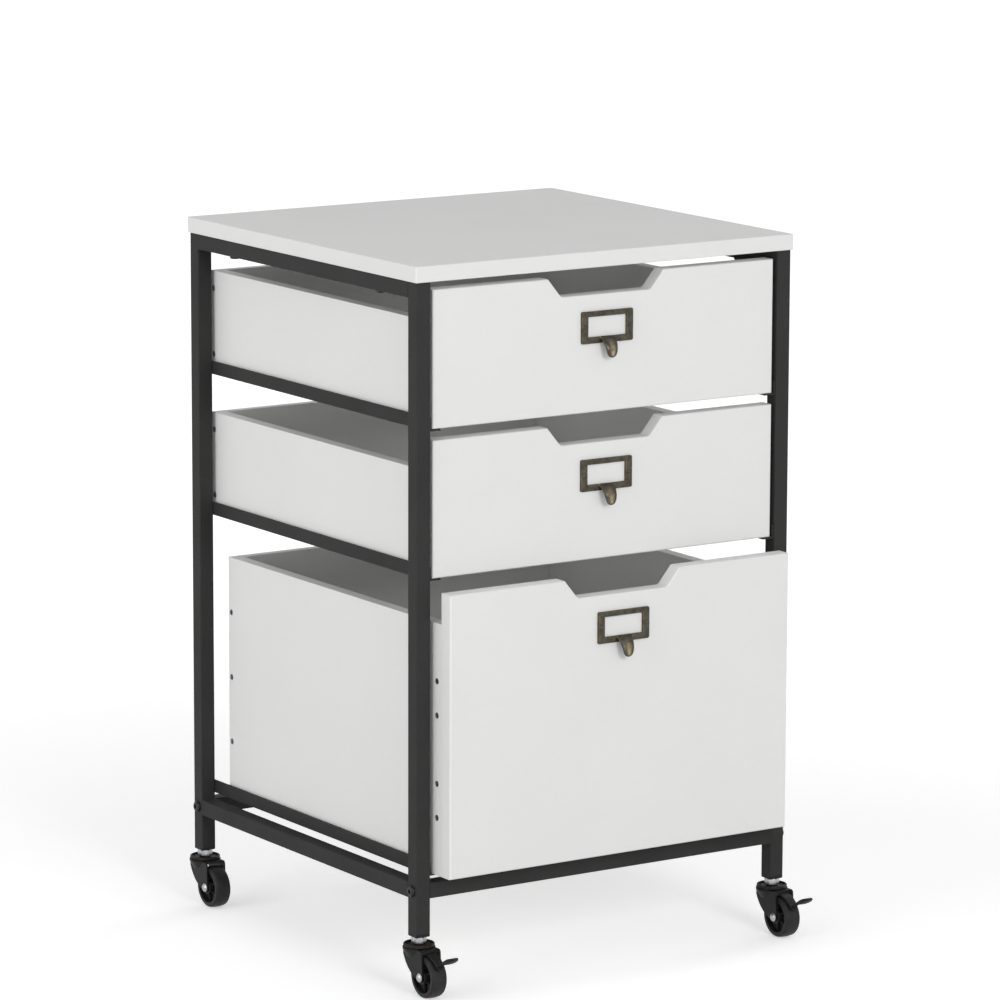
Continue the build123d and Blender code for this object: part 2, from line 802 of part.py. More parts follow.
def make_axle(corner, centre_x, centre_y):
    """A riveted axle with a domed cap at each end."""
    place = (centre_x, centre_y - caster_trail, axle_height)
    cap_x = fork_outer / 2
    with BuildPart() as axle:
        with BuildSketch(Plane(origin=place, x_dir=(1, 0, 0), z_dir=(0, -1, 0))):
            with BuildLine():
                Polyline(
                    (-cap_x - axle_head_height, 0),
                    (cap_x + axle_head_height, 0),
                )
                TangentArc(
                    (cap_x + axle_head_height, 0), (cap_x, axle_head_radius), tangent=(0, 1)
                )
                Polyline(
                    (cap_x, axle_head_radius),
                    (cap_x, axle_radius),
                    (-cap_x, axle_radius),
                    (-cap_x, axle_head_radius),
                )
                TangentArc(
                    (-cap_x - axle_head_height, 0), (-cap_x, axle_head_radius), tangent=(0, 1)
                )
            make_face()
        revolve(axis=Axis(place, (1, 0, 0)))
    save(axle, f"{corner}_axle")


def make_wheel(corner, centre_x, centre_y):
    """A moulded wheel with a crowned tread, recessed web and hub."""
    place = (centre_x, centre_y - caster_trail, axle_height)
    bore = axle_radius + running_fit
    rim_radius = tread_radius - wheel_rim
    edge_radius = tread_radius - tread_crown
    with BuildPart() as wheel:
        with BuildSketch(Plane(origin=place, x_dir=(1, 0, 0), z_dir=(0, -1, 0))) as section:
            with BuildLine():
                Polyline(
                    (-wheel_width / 2, edge_radius),
                    (-wheel_width / 2, rim_radius),
                    (-wheel_web / 2, rim_radius),
                    (-wheel_web / 2, hub_radius),
                    (-hub_width / 2, hub_radius),
                    (-hub_width / 2, bore),
                    (hub_width / 2, bore),
                    (hub_width / 2, hub_radius),
                    (wheel_web / 2, hub_radius),
                    (wheel_web / 2, rim_radius),
                    (wheel_width / 2, rim_radius),
                    (wheel_width / 2, edge_radius),
                )
                ThreePointArc(
                    (wheel_width / 2, edge_radius), (0, tread_radius), (-wheel_width / 2, edge_radius)
                )
            make_face()
            fillet(section.vertices().group_by(Axis.Y)[-1], tread_corner)
        revolve(axis=Axis(place, (1, 0, 0)))
    save(wheel, f"{corner}_wheel")


def make_brake(corner, centre_x, centre_y):
    """A bent brake lever: trunnions, a shoe that curves down over the tread, and a pedal turned up from it."""
    axle_y = centre_y - caster_trail
    half = brake_thickness / 2
    middle_angle = (pin_angle + brake_shoe_angle) / 2
    middle_radius = (pin_distance + shoe_radius) / 2
    pin = from_axle(axle_y, pin_distance, pin_angle)
    shoe_middle = from_axle(axle_y, middle_radius, middle_angle)
    heel = from_axle(axle_y, shoe_radius, brake_shoe_angle)
    pedal_tip = (axle_y - pedal_reach, axle_height + pedal_rise)
    pedal_length = heel[0] - pedal_tip[0] + brake_thickness
    with BuildPart() as pedal:
        with BuildSketch(Plane.YZ.offset(centre_x - pedal_width / 2)):
            with BuildLine():
                SagittaArc(heel, pedal_tip, -pedal_bow)
                offset(amount=half, side=Side.BOTH)
            make_face()
        extrude(amount=pedal_width)
        with BuildSketch(Plane.XY):
            with Locations((centre_x, (heel[0] + pedal_tip[0]) / 2)):
                RectangleRounded(pedal_width, pedal_length, pedal_corner)
        extrude(amount=top_height, mode=Mode.INTERSECT)
    with BuildPart() as brake:
        with BuildSketch(Plane.YZ.offset(centre_x - brake_width / 2)):
            with BuildLine():
                ThreePointArc(pin, shoe_middle, heel)
                offset(amount=half, side=Side.BOTH)
            make_face()
        extrude(amount=brake_width)
        add(pedal.part)
        with BuildSketch(Plane.YZ.offset(centre_x - fork_outer / 2)):
            with Locations(pin):
                Circle(brake_pin_radius)
        extrude(amount=fork_outer)
    save(brake, f"{corner}_brake_lever")


for corner, (side_x, side_y) in corners.items():
    make_fork(corner, side_x * post_x, side_y * post_y)
    make_axle(corner, side_x * post_x, side_y * post_y)
    make_wheel(corner, side_x * post_x, side_y * post_y)
    if corner in braked_corners:
        make_brake(corner, side_x * post_x, side_y * post_y)
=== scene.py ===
"""Looks of a rolling drawer cart: finishes, fine pieces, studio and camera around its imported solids.

Metres throughout, in the frame of the solids: X to the right along the front, Y to the rear, Z up.
"""
import json
import logging
import math
import random
from dataclasses import dataclass
from enum import Enum, StrEnum

import bmesh
import bpy
from mathutils import Matrix, Vector


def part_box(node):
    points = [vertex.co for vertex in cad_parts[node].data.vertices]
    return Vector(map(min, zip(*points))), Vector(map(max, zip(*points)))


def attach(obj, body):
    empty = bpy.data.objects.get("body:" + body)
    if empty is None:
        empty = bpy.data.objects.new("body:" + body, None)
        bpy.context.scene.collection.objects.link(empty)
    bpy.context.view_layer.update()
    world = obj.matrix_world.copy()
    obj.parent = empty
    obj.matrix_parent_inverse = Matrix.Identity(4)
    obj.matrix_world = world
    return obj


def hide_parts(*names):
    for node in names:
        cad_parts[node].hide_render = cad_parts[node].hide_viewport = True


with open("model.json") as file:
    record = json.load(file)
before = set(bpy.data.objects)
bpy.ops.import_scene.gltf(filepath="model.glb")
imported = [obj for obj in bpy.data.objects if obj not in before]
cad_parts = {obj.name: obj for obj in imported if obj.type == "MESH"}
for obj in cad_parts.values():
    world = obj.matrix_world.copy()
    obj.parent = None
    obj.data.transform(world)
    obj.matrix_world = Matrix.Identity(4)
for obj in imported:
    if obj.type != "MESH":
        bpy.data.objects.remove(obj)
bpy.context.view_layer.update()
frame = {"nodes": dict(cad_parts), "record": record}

WHITE = (1.0, 1.0, 1.0)
# Name of the mesh attribute that says where fingers have rubbed, and where the tongue's front takes a painted
# highlight
RUBBED_HIGHLIGHT = "rubbed_highlight"
VECTOR_STEP = "ShaderNodeVectorMath"
BEVEL_SAMPLES = 6
# Octaves of noise in a fine grain and in broad clouds, and how strong they are in patches
FINE_DETAIL = 2.0
BROAD_DETAIL = 4.0
PATCHY = 0.6
SMOOTH_TURN = math.radians(40.0)
QUARTER_TURN = math.radians(90.0)
FULL_TURN = 2.0 * math.pi
TINY = 1e-9
# A wave texture of scale 1 turns by this many radians in a metre
WAVE_TURN = 20.0

LOG = logging.getLogger("drawer_cart")

Colour = tuple[float, float, float]
Range = tuple[float, float]
Stations = tuple[tuple[float, ...], ...]
Socket = bpy.types.NodeSocket
Shape = bmesh.types.BMesh
Ring = list[Vector]
Rows = list[list[bmesh.types.BMVert]]


class Slot(Enum):
    """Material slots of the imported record."""

    WHITE_BOARD = "white_board"
    BOTTOM_BOARD = "bottom_board"
    BLACK_STEEL = "black_steel"
    BOLT_STEEL = "bolt_steel"
    ZINC_STEEL = "zinc_steel"
    BLACK_PLASTIC = "black_plastic"
    ANTIQUE_BRASS = "antique_brass"
    CASTER_STEEL = "caster_steel"
    WHEEL_PLASTIC = "wheel_plastic"


class Drawer(StrEnum):
    """The three drawers, from the top down."""

    TOP = "top"
    MIDDLE = "middle"
    BOTTOM = "bottom"


class Corner(StrEnum):
    """The four corners of the frame, each with a caster."""

    FRONT_LEFT = "front_left"
    FRONT_RIGHT = "front_right"
    REAR_LEFT = "rear_left"
    REAR_RIGHT = "rear_right"


class NodeSheet:
    """Writes nodes into one node tree."""

    def __init__(self, tree: bpy.types.NodeTree) -> None:
        """Take the tree that the nodes go into."""
        self.tree = tree

    def feed(self, target: Socket, value: Socket | Colour | float) -> None:
        """Link a socket, or set a plain colour or number on it.

        Args:
            target: socket to feed.
            value: what goes into it.
        """
        if isinstance(value, Socket):
            self.tree.links.new(value, target)
        elif isinstance(value, tuple):
            target.default_value = (*value, 1.0)
        else:
            target.default_value = value

    def fill(self, node: bpy.types.Node, **values: Socket | Colour | float) -> None:
        """Link or set a node's sockets.

        Args:
            node: node to feed.
            values: socket names with underscores for spaces, and what goes into them.
        """
        for name, value in values.items():
            self.feed(node.inputs[name.replace("_", " ")], value)

    def add(self, kind: str, **values: Socket | Colour | float) -> bpy.types.Node:
        """Add a node and fill its sockets.

        Args:
            kind: type of the node.
            values: what goes into its sockets, named as for fill.

        Returns:
            The new node.
        """
        node = self.tree.nodes.new(kind)
        self.fill(node, **values)
        return node

    def spread(self, value: Socket, low: Socket | float, high: float, start: float = 0.3,
               end: float = 0.7) -> Socket:
        """Return a value mapped from start..end to low..high, and held there.

        Args:
            value: value to map.
            low: result at the start.
            high: result at the end.
            start: value at which the change begins.
            end: value at which the change ends.

        Returns:
            The mapped value.
        """
        ends = {"From_Min": start, "From_Max": end, "To_Min": low, "To_Max": high}
        return self.add("ShaderNodeMapRange", Value=value, **ends).outputs["Result"]

    def mix(self, factor: Socket, first: Socket | Colour, second: Socket | Colour) -> Socket:
        """Return a colour between two others.

        Args:
            factor: share of the second colour.
            first: colour at factor 0.
            second: colour at factor 1.

        Returns:
            The mixed colour.
        """
        node = self.add("ShaderNodeMix")
        node.data_type = "RGBA"
        self.feed(node.inputs["Factor"], factor)
        colours = [item for item in node.inputs if item.type == "RGBA"]
        for target, colour in zip(colours, (first, second)):
            self.feed(target, colour)
        return next(item for item in node.outputs if item.type == "RGBA")

    def compute(self, operation: str, *terms: Socket | float, kind: str = "ShaderNodeMath") -> Socket:
        """Return the number that one arithmetic step gives.

        Args:
            operation: name of the step.
            terms: its terms, in order.
            kind: node that does the step.

        Returns:
            The result.
        """
        node = self.add(kind)
        node.operation = operation
        for target, term in zip(node.inputs, terms):
            self.feed(target, term)
        return node.outputs["Value"]

    def seen_directly(self) -> Socket:
        """Tell rays that show a surface from rays that carry its light.

        Returns:
            1 for rays of the camera, mirrors and glass, and 0 for all others.
        """
        path = self.add("ShaderNodeLightPath")
        total = path.outputs["Is Camera Ray"]
        for name in ("Is Glossy Ray", "Is Transmission Ray"):
            total = self.compute("MAXIMUM", total, path.outputs[name])
        return total


class ShaderSheet(NodeSheet):
    """Writes the nodes of one material, in the piece's own coordinates."""

    def __init__(self, name: str) -> None:
        """Start a material with a shader and an output.

        Args:
            name: name of the material.
        """
        self.material = bpy.data.materials.new(name)
        self.material.use_nodes = True
        super().__init__(self.material.node_tree)
        self.tree.nodes.clear()
        self.shader = self.add("ShaderNodeBsdfPrincipled")
        self.add("ShaderNodeOutputMaterial", Surface=self.shader.outputs["BSDF"])
        self.place = self.add("ShaderNodeTexCoord").outputs["Object"]

    def use(self, **values: Socket | Colour | float) -> None:
        """Link or set the shader's own sockets."""
        self.fill(self.shader, **values)

    def noise(self, per_metre: float, detail: float = 3.0, rough: float = 0.5) -> Socket:
        """Return a noise value between 0 and 1.

        Args:
            per_metre: how many features lie in a metre.
            detail: octaves of finer noise.
            rough: strength of the finer noise.

        Returns:
            The noise node's value socket.
        """
        values = {"Vector": self.place, "Scale": per_metre, "Detail": detail, "Roughness": rough}
        return self.add("ShaderNodeTexNoise", **values).outputs["Fac"]

    def rounding(self, radius: float) -> Socket:
        """Round off the surface's normals at sharp edges.

        Args:
            radius: radius of the rounding.

        Returns:
            The rounded normals.
        """
        bevel = self.add("ShaderNodeBevel", Radius=radius)
        bevel.samples = BEVEL_SAMPLES
        return bevel.outputs["Normal"]

    def edges(self, radius: float, start: float, end: float) -> Socket:
        """Return a mask of the piece's edges and ridges.

        Args:
            radius: how far from an edge the mask reaches.
            start: turn of the normal at which the mask begins.
            end: turn of the normal at which it is full.

        Returns:
            A value that is 0 on flat faces and 1 on edges.
        """
        normal = self.add("ShaderNodeNewGeometry").outputs["Normal"]
        turn = self.compute("DOT_PRODUCT", self.rounding(radius), normal, kind=VECTOR_STEP)
        return self.spread(turn, 1.0, 0.0, 1.0 - end, 1.0 - start)

    def relief(self, height: Socket, strength: float, depth: float, edge: float) -> None:
        """Raise the surface by a height map over softly rounded edges.

        Args:
            height: value between 0 and 1.
            strength: share of the relief that shows.
            depth: height of the relief in metres.
            edge: radius of the rounding at sharp edges.
        """
        values = {"Strength": strength, "Distance": depth, "Height": height, "Normal": self.rounding(edge)}
        self.use(Normal=self.add("ShaderNodeBump", **values).outputs["Normal"])


@dataclass(frozen=True)
class PaintedBoard:
    """White lacquered board: faint mottling, a satin face and a slight orange peel."""

    name: str
    pale: Colour
    shade: Colour
    gloss: Range = (0.46, 0.58)
    sheen: float = 0.28
    cloud_scale: float = 9.0
    fleck_scale: float = 160.0
    fleck_share: float = 0.3
    peel_scale: float = 520.0
    peel_strength: float = 0.10
    peel_depth: float = 0.00012
    edge: float = 0.0006

    def make(self) -> bpy.types.Material:
        """Write the finish into a new material.

        Returns:
            The material.
        """
        sheet = ShaderSheet(self.name)
        fleck = sheet.noise(self.fleck_scale, FINE_DETAIL)
        cloud = sheet.noise(self.cloud_scale, BROAD_DETAIL)
        cloud = sheet.compute("MULTIPLY", cloud, 1.0 - self.fleck_share)
        blend = sheet.compute("MULTIPLY_ADD", fleck, self.fleck_share, cloud)
        tone = sheet.mix(sheet.spread(blend, 0.0, 1.0), self.shade, self.pale)
        sheet.use(Base_Color=tone, Roughness=sheet.spread(fleck, *self.gloss), Specular_IOR_Level=self.sheen)
        peel = sheet.noise(self.peel_scale, FINE_DETAIL)
        sheet.relief(peel, self.peel_strength, self.peel_depth, self.edge)
        return sheet.material


@dataclass(frozen=True)
class PowderCoat:
    """Baked powder paint on steel: fine pebbled relief and slightly paler edges."""

    name: str
    deep: Colour
    pale: Colour
    edge_tone: Colour
    gloss: Range
    sheen: float
    stain: Colour | None = None
    stain_scale: float = 330.0
    stain_range: Range = (0.48, 0.62)
    stain_share: float = 0.9
    cloud_scale: float = 18.0
    grain_scale: float = 1300.0
    grain_strength: float = 0.22
    grain_depth: float = 0.00010
    edge: float = 0.0005
    worn_reach: float = 0.00075
    worn_turn: Range = (0.02, 0.25)

    def make(self) -> bpy.types.Material:
        """Write the finish into a new material.

        Returns:
            The material.
        """
        sheet = ShaderSheet(self.name)
        grain = sheet.noise(self.grain_scale, FINE_DETAIL)
        cloud = sheet.noise(self.cloud_scale, BROAD_DETAIL)
        body = sheet.mix(sheet.spread(cloud, 0.0, 1.0), self.deep, self.pale)
        if self.stain:
            patch = sheet.noise(self.stain_scale, BROAD_DETAIL, PATCHY)
            body = sheet.mix(sheet.spread(patch, 0.0, self.stain_share, *self.stain_range), body, self.stain)
        tone = sheet.mix(sheet.edges(self.worn_reach, *self.worn_turn), body, self.edge_tone)
        sheet.use(Base_Color=tone, Roughness=sheet.spread(grain, *self.gloss), Specular_IOR_Level=self.sheen)
        sheet.relief(grain, self.grain_strength, self.grain_depth, self.edge)
        return sheet.material


@dataclass(frozen=True)
class PlatedSteel:
    """Bright plated steel: a fine grain, a light haze and a faint coloured bloom."""

    name: str
    bright: Colour
    bloom: Colour
    gloss: Range = (0.22, 0.40)
    bloom_scale: float = 260.0
    grain_scale: float = 2600.0
    grain_strength: float = 0.12
    grain_depth: float = 0.00005
    edge: float = 0.0002

    def make(self) -> bpy.types.Material:
        """Write the finish into a new material.

        Returns:
            The material.
        """
        sheet = ShaderSheet(self.name)
        haze = sheet.noise(self.bloom_scale, BROAD_DETAIL)
        grain = sheet.noise(self.grain_scale, FINE_DETAIL)
        tone = sheet.mix(sheet.spread(haze, 0.0, 1.0), self.bright, self.bloom)
        sheet.use(Base_Color=tone, Roughness=sheet.spread(haze, *self.gloss), Metallic=1.0)
        sheet.relief(grain, self.grain_strength, self.grain_depth, self.edge)
        return sheet.material


@dataclass(frozen=True)
class AntiqueBrass:
    """Dark antiqued brass: brown lacquer, green and red patches, and gold where fingers rub, which on the
    tongue is partly a painted highlight.
    """

    name: str
    brown: Colour = (0.092, 0.080, 0.058)
    umber: Colour = (0.048, 0.042, 0.034)
    verdigris: Colour = (0.082, 0.088, 0.062)
    russet: Colour = (0.120, 0.074, 0.054)
    # Gold of rubbed brass, which on the tongue's front also stands in for a painted highlight
    gold: Colour = (0.46, 0.36, 0.21)
    stain_scale: float = 240.0
    stain_range: Range = (0.38, 0.64)
    patch_scale: float = 110.0
    green_range: Range = (0.54, 0.66)
    green_share: float = 0.7
    red_range: Range = (0.30, 0.38)
    red_share: float = 0.5
    pit_scale: float = 1500.0
    pit_strength: float = 0.18
    pit_depth: float = 0.00008
    edge: float = 0.0005
    ridge_reach: float = 0.0011
    ridge_turn: Range = (0.010, 0.20)
    ridge_share: float = 0.5
    least_rubbed: float = 0.30
    gloss: Range = (0.30, 0.46)
    polish: float = 0.20
    metallic: float = 0.85

    def make(self) -> bpy.types.Material:
        """Write the finish into a new material.

        Returns:
            The material.
        """
        sheet = ShaderSheet(self.name)
        stain = sheet.noise(self.stain_scale, BROAD_DETAIL, PATCHY)
        patch = sheet.noise(self.patch_scale)
        pit = sheet.noise(self.pit_scale)
        body = sheet.mix(sheet.spread(stain, 0.0, 1.0, *self.stain_range), self.umber, self.brown)
        green = sheet.spread(patch, 0.0, self.green_share, *self.green_range)
        red = sheet.spread(patch, self.red_share, 0.0, *self.red_range)
        body = sheet.mix(red, sheet.mix(green, body, self.verdigris), self.russet)
        handled_highlight = sheet.add("ShaderNodeAttribute")
        handled_highlight.attribute_name = RUBBED_HIGHLIGHT
        ridges = sheet.compute("MULTIPLY", sheet.edges(self.ridge_reach, *self.ridge_turn), self.ridge_share)
        # Gold on ridges is rubbing wear; on the tongue's front it is wear and a painted highlight
        rubbed_highlight = sheet.compute("MAXIMUM", ridges, handled_highlight.outputs["Fac"])
        worn_and_highlight = sheet.compute("MULTIPLY", rubbed_highlight, sheet.spread(stain, self.least_rubbed, 1.0))
        polish = sheet.compute("MULTIPLY", worn_and_highlight, self.polish)
        gloss = sheet.compute("SUBTRACT", sheet.spread(pit, *self.gloss), polish)
        sheet.use(Base_Color=sheet.mix(worn_and_highlight, body, self.gold), Roughness=gloss, Metallic=self.metallic)
        sheet.relief(pit, self.pit_strength, self.pit_depth, self.edge)
        return sheet.material


@dataclass(frozen=True)
class MouldedPlastic:
    """Moulded plastic: fine spark texture, a little dust and, on a tread, faint rings."""

    name: str
    deep: Colour
    dusty: Colour
    ring_pitch: float = 0.0
    gloss: Range = (0.45, 0.62)
    sheen: float = 0.25
    dust_scale: float = 210.0
    dust_detail: float = 5.0
    dust_range: Range = (0.42, 0.72)
    spark_scale: float = 2400.0
    spark_share: float = 0.4
    grain_strength: float = 0.20
    grain_depth: float = 0.00010
    edge: float = 0.0004

    def make(self) -> bpy.types.Material:
        """Write the finish into a new material.

        Returns:
            The material.
        """
        sheet = ShaderSheet(self.name)
        dust = sheet.noise(self.dust_scale, self.dust_detail, PATCHY)
        height = sheet.noise(self.spark_scale, FINE_DETAIL)
        tone = sheet.mix(sheet.spread(dust, 0.0, 1.0, *self.dust_range), self.deep, self.dusty)
        sheet.use(Base_Color=tone, Roughness=sheet.spread(height, *self.gloss), Specular_IOR_Level=self.sheen)
        if self.ring_pitch > 0.0:
            scale = FULL_TURN / (WAVE_TURN * self.ring_pitch)
            wave = sheet.add("ShaderNodeTexWave", Vector=sheet.place, Scale=scale, Distortion=0.0)
            wave.bands_direction = "X"
            height = sheet.compute("MULTIPLY_ADD", height, self.spark_share, wave.outputs["Fac"])
        sheet.relief(height, self.grain_strength, self.grain_depth, self.edge)
        return sheet.material


class Touch(Enum):
    """Finishes of fine pieces that differ from the rest of their slot."""

    SCREW_HEAD = "screw_head"
    BEARING_CUP = "bearing_cup"


FINISHES = {
    Slot.WHITE_BOARD: PaintedBoard("white_lacquer", pale=(0.845, 0.845, 0.838), shade=(0.818, 0.818, 0.811)),
    Slot.BOTTOM_BOARD: PaintedBoard(
        "white_faced_board", pale=(0.790, 0.788, 0.778), shade=(0.745, 0.743, 0.730), gloss=(0.55, 0.70)),
    Slot.BLACK_STEEL: PowderCoat(
        "charcoal_powder_coat", deep=(0.0345, 0.0345, 0.0338), pale=(0.0415, 0.0415, 0.0407),
        edge_tone=(0.060, 0.060, 0.058), gloss=(0.54, 0.70), sheen=0.09),
    Slot.BOLT_STEEL: PowderCoat(
        "black_bolt_coat", deep=(0.006, 0.006, 0.006), pale=(0.010, 0.010, 0.010),
        edge_tone=(0.060, 0.058, 0.055), gloss=(0.30, 0.44), sheen=0.35),
    Slot.CASTER_STEEL: PowderCoat(
        "black_caster_paint", deep=(0.007, 0.007, 0.007), pale=(0.011, 0.011, 0.0105),
        edge_tone=(0.032, 0.031, 0.030), gloss=(0.42, 0.56), sheen=0.20),
    Slot.ZINC_STEEL: PlatedSteel("bright_zinc", bright=(0.47, 0.48, 0.485), bloom=(0.35, 0.37, 0.385)),
    Slot.ANTIQUE_BRASS: AntiqueBrass("antique_brass"),
    Slot.BLACK_PLASTIC: MouldedPlastic(
        "black_plug_plastic", deep=(0.008, 0.008, 0.0085), dusty=(0.014, 0.014, 0.015)),
    Slot.WHEEL_PLASTIC: MouldedPlastic(
        "charcoal_tread", deep=(0.0120, 0.0125, 0.0120), dusty=(0.0200, 0.0208, 0.0198), ring_pitch=0.00754),
    # Darker than the bright zinc: a blue zinc tint with painted shade of the dark gap beside the posts
    Touch.SCREW_HEAD: PlatedSteel(
        "shaded_blue_zinc_screw", bright=(0.20, 0.225, 0.27), bloom=(0.11, 0.125, 0.16), gloss=(0.26, 0.42)),
    Touch.BEARING_CUP: PowderCoat(
        "greased_bearing_cup", deep=(0.006, 0.006, 0.006), pale=(0.011, 0.010, 0.009),
        edge_tone=(0.034, 0.031, 0.028), gloss=(0.46, 0.62), sheen=0.20, stain=(0.034, 0.022, 0.016)),
}


def add_object(name: str, data: bpy.types.ID) -> bpy.types.Object:
    """Put a new object into the scene.

    Args:
        name: name of the object.
        data: its mesh, lamp or camera.

    Returns:
        The new object.
    """
    thing = bpy.data.objects.new(name, data)
    bpy.context.scene.collection.objects.link(thing)
    return thing


class Workshop:
    """Makes each finish once and turns meshes into pieces that ride on their bodies."""

    def __init__(self) -> None:
        """Make every finish and note the slot of every solid."""
        self.materials = {slot: finish.make() for slot, finish in FINISHES.items()}
        self.slots = {row["node"]: Slot(row["material_slot"]) for row in frame["record"]["subparts"]}

    def dress(self) -> None:
        """Give every solid of the cart the finish of its slot."""
        for name, node in frame["nodes"].items():
            node.data.materials[0] = self.materials[self.slots[name]]

    def piece(self, name: str, shape: Shape, body: str, slot: Slot,
              stands_for: tuple[str, ...] = (), smooth: float = SMOOTH_TURN,
              touch: Touch | None = None) -> None:
        """Turn a mesh into a piece of the cart.

        Args:
            name: name of the piece.
            shape: its mesh, which is freed.
            body: body that it rides on.
            slot: material slot that it takes its finish from.
            stands_for: solids that it replaces.
            smooth: largest turn between faces that is shaded as a curve.
            touch: finish of its own, the slot's finish if left out.
        """
        bmesh.ops.recalc_face_normals(shape, faces=shape.faces)
        mesh = bpy.data.meshes.new(name)
        shape.to_mesh(mesh)
        shape.free()
        mesh.shade_smooth()
        mesh.set_sharp_from_angle(angle=smooth)
        mesh.materials.append(self.materials[touch or slot])
        thing = add_object(name, mesh)
        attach(thing, body)
        if stands_for:
            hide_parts(*stands_for)
        LOG.info("%s rides on %s, %d faces", name, body, len(mesh.polygons))


def circle(radius: float, height: float, steps: int) -> Ring:
    """Return a ring of points about the Z axis at that height."""
    turns = [FULL_TURN * step / steps for step in range(steps)]
    return [Vector((radius * math.cos(turn), radius * math.sin(turn), height)) for turn in turns]


def ramp(value: float, start: float, length: float) -> float:
    """Return a rise from 0 at the start to 1 a length later, held on both sides."""
    return min(max((value - start) / length, 0.0), 1.0)


def rounded_rectangle(width: float, height: float, radius: float, steps: int) -> list[tuple[float, float]]:
    """Return the outline of a rounded rectangle about the origin.

    Args:
        width: size along the first axis.
        height: size along the second axis.
        radius: radius of its corners.
        steps: points in each corner.

    Returns:
        Points in order round the outline.
    """
    points = []
    for quarter, (side, up) in enumerate(((1, 1), (-1, 1), (-1, -1), (1, -1))):
        for step in range(steps):
            turn = QUARTER_TURN * (quarter + step / (steps - 1))
            across = side * (width / 2 - radius) + radius * math.cos(turn)
            above = up * (height / 2 - radius) + radius * math.sin(turn)
            points.append((across, above))
    return points


def skin(shape: Shape, rings: list[Ring], loop: bool = False, caps: bool = True) -> Rows:
    """Cover a row of rings with faces.

    Args:
        shape: mesh to add to.
        rings: rings of equal length, in order.
        loop: join the last ring to the first.
        caps: close the first and last ring with a fan, where they aren't joined.

    Returns:
        The new points, ring by ring.
    """
    rows = [[shape.verts.new(point) for point in ring] for ring in rings]
    pairs = list(zip(rows, rows[1:]))
    if loop:
        pairs.append((rows[-1], rows[0]))
    for first, second in pairs:
        count = len(first)
        for i in range(count):
            j = (i + 1) % count
            shape.faces.new((first[i], first[j], second[j], second[i]))
    if caps and not loop:
        for row in (rows[0], rows[-1]):
            middle = shape.verts.new(sum((v.co for v in row), Vector()) / len(row))
            for i in range(len(row)):
                shape.faces.new((row[i], row[(i + 1) % len(row)], middle))
    return rows


def turned(shape: Shape, place: Matrix, profile: Stations, points: int, caps: bool = True) -> Rows:
    """Cover a turned form with faces.

    Args:
        shape: mesh to add to.
        place: where the form's own Z axis goes.
        profile: radius and height of each ring, in order.
        points: points in each ring.
        caps: close both ends.

    Returns:
        The new points, ring by ring.
    """
    rings = [[place @ point for point in circle(radius, height, points)] for radius, height in profile]
    return skin(shape, rings, caps=caps)


def lying(place: Vector, axis: str) -> Matrix:
    """Return the place of a form that is laid down by a quarter turn about an axis."""
    return Matrix.Translation(place) @ Matrix.Rotation(QUARTER_TURN, 4, axis)


def smooth_stations(stations: Stations, steps: int) -> list[list[float]]:
    """Return evenly stepped values of a smooth curve through stations.

    Args:
        stations: rows of values; the first value of each is its place along the curve.
        steps: number of rows wanted.

    Returns:
        Rows of the remaining values.
    """
    rows = []
    last = len(stations) - 1
    for step in range(steps):
        along = stations[0][0] + (stations[-1][0] - stations[0][0]) * step / (steps - 1)
        span = max(i for i in range(last) if stations[i][0] <= along + TINY)
        before, first = stations[max(span - 1, 0)], stations[span]
        second, after = stations[span + 1], stations[min(span + 2, last)]
        t = (along - first[0]) / (second[0] - first[0])
        row = []
        # A cubic between the two middle rows, with slopes from their neighbours
        for a, b, c, d in zip(before[1:], first[1:], second[1:], after[1:]):
            row.append(0.5 * (2 * b + (c - a) * t + (2 * a - 5 * b + 4 * c - d) * t ** 2
                              + (3 * b - a - 3 * c + d) * t ** 3))
        rows.append(row)
    return rows


def strip(shape: Shape, stations: Stations, steps: int, foot: Vector, points: int, squareness: float,
          dish: float = 0.0) -> Rows:
    """Cover a bent strip that runs to the front with faces.

    Args:
        shape: mesh to add to.
        stations: place along the strip, forward of the foot, above it, half width and half thickness.
        steps: number of rings.
        foot: where the strip is measured from.
        points: points in each ring.
        squareness: 2 for an oval section, more for a flatter one.
        dish: how far the strip's edges curl up.

    Returns:
        The new points, ring by ring.
    """
    rows = smooth_stations(stations, steps)
    rings = []
    for i, (forward, up, half_width, half_thick) in enumerate(rows):
        before, after = rows[max(i - 1, 0)], rows[min(i + 1, len(rows) - 1)]
        along = Vector((0.0, before[0] - after[0], after[1] - before[1])).normalized()
        outward = Vector((0.0, along.z, -along.y))
        centre = foot + Vector((0.0, -forward, up))
        ring = []
        for step in range(points):
            turn = FULL_TURN * step / points
            across = math.copysign(abs(math.cos(turn)) ** (2.0 / squareness), math.cos(turn))
            above = math.copysign(abs(math.sin(turn)) ** (2.0 / squareness), math.sin(turn))
            lift = half_thick * above + dish * across ** 2
            ring.append(centre + Vector((half_width * across, 0.0, 0.0)) + outward * lift)
        rings.append(ring)
    return skin(shape, rings)


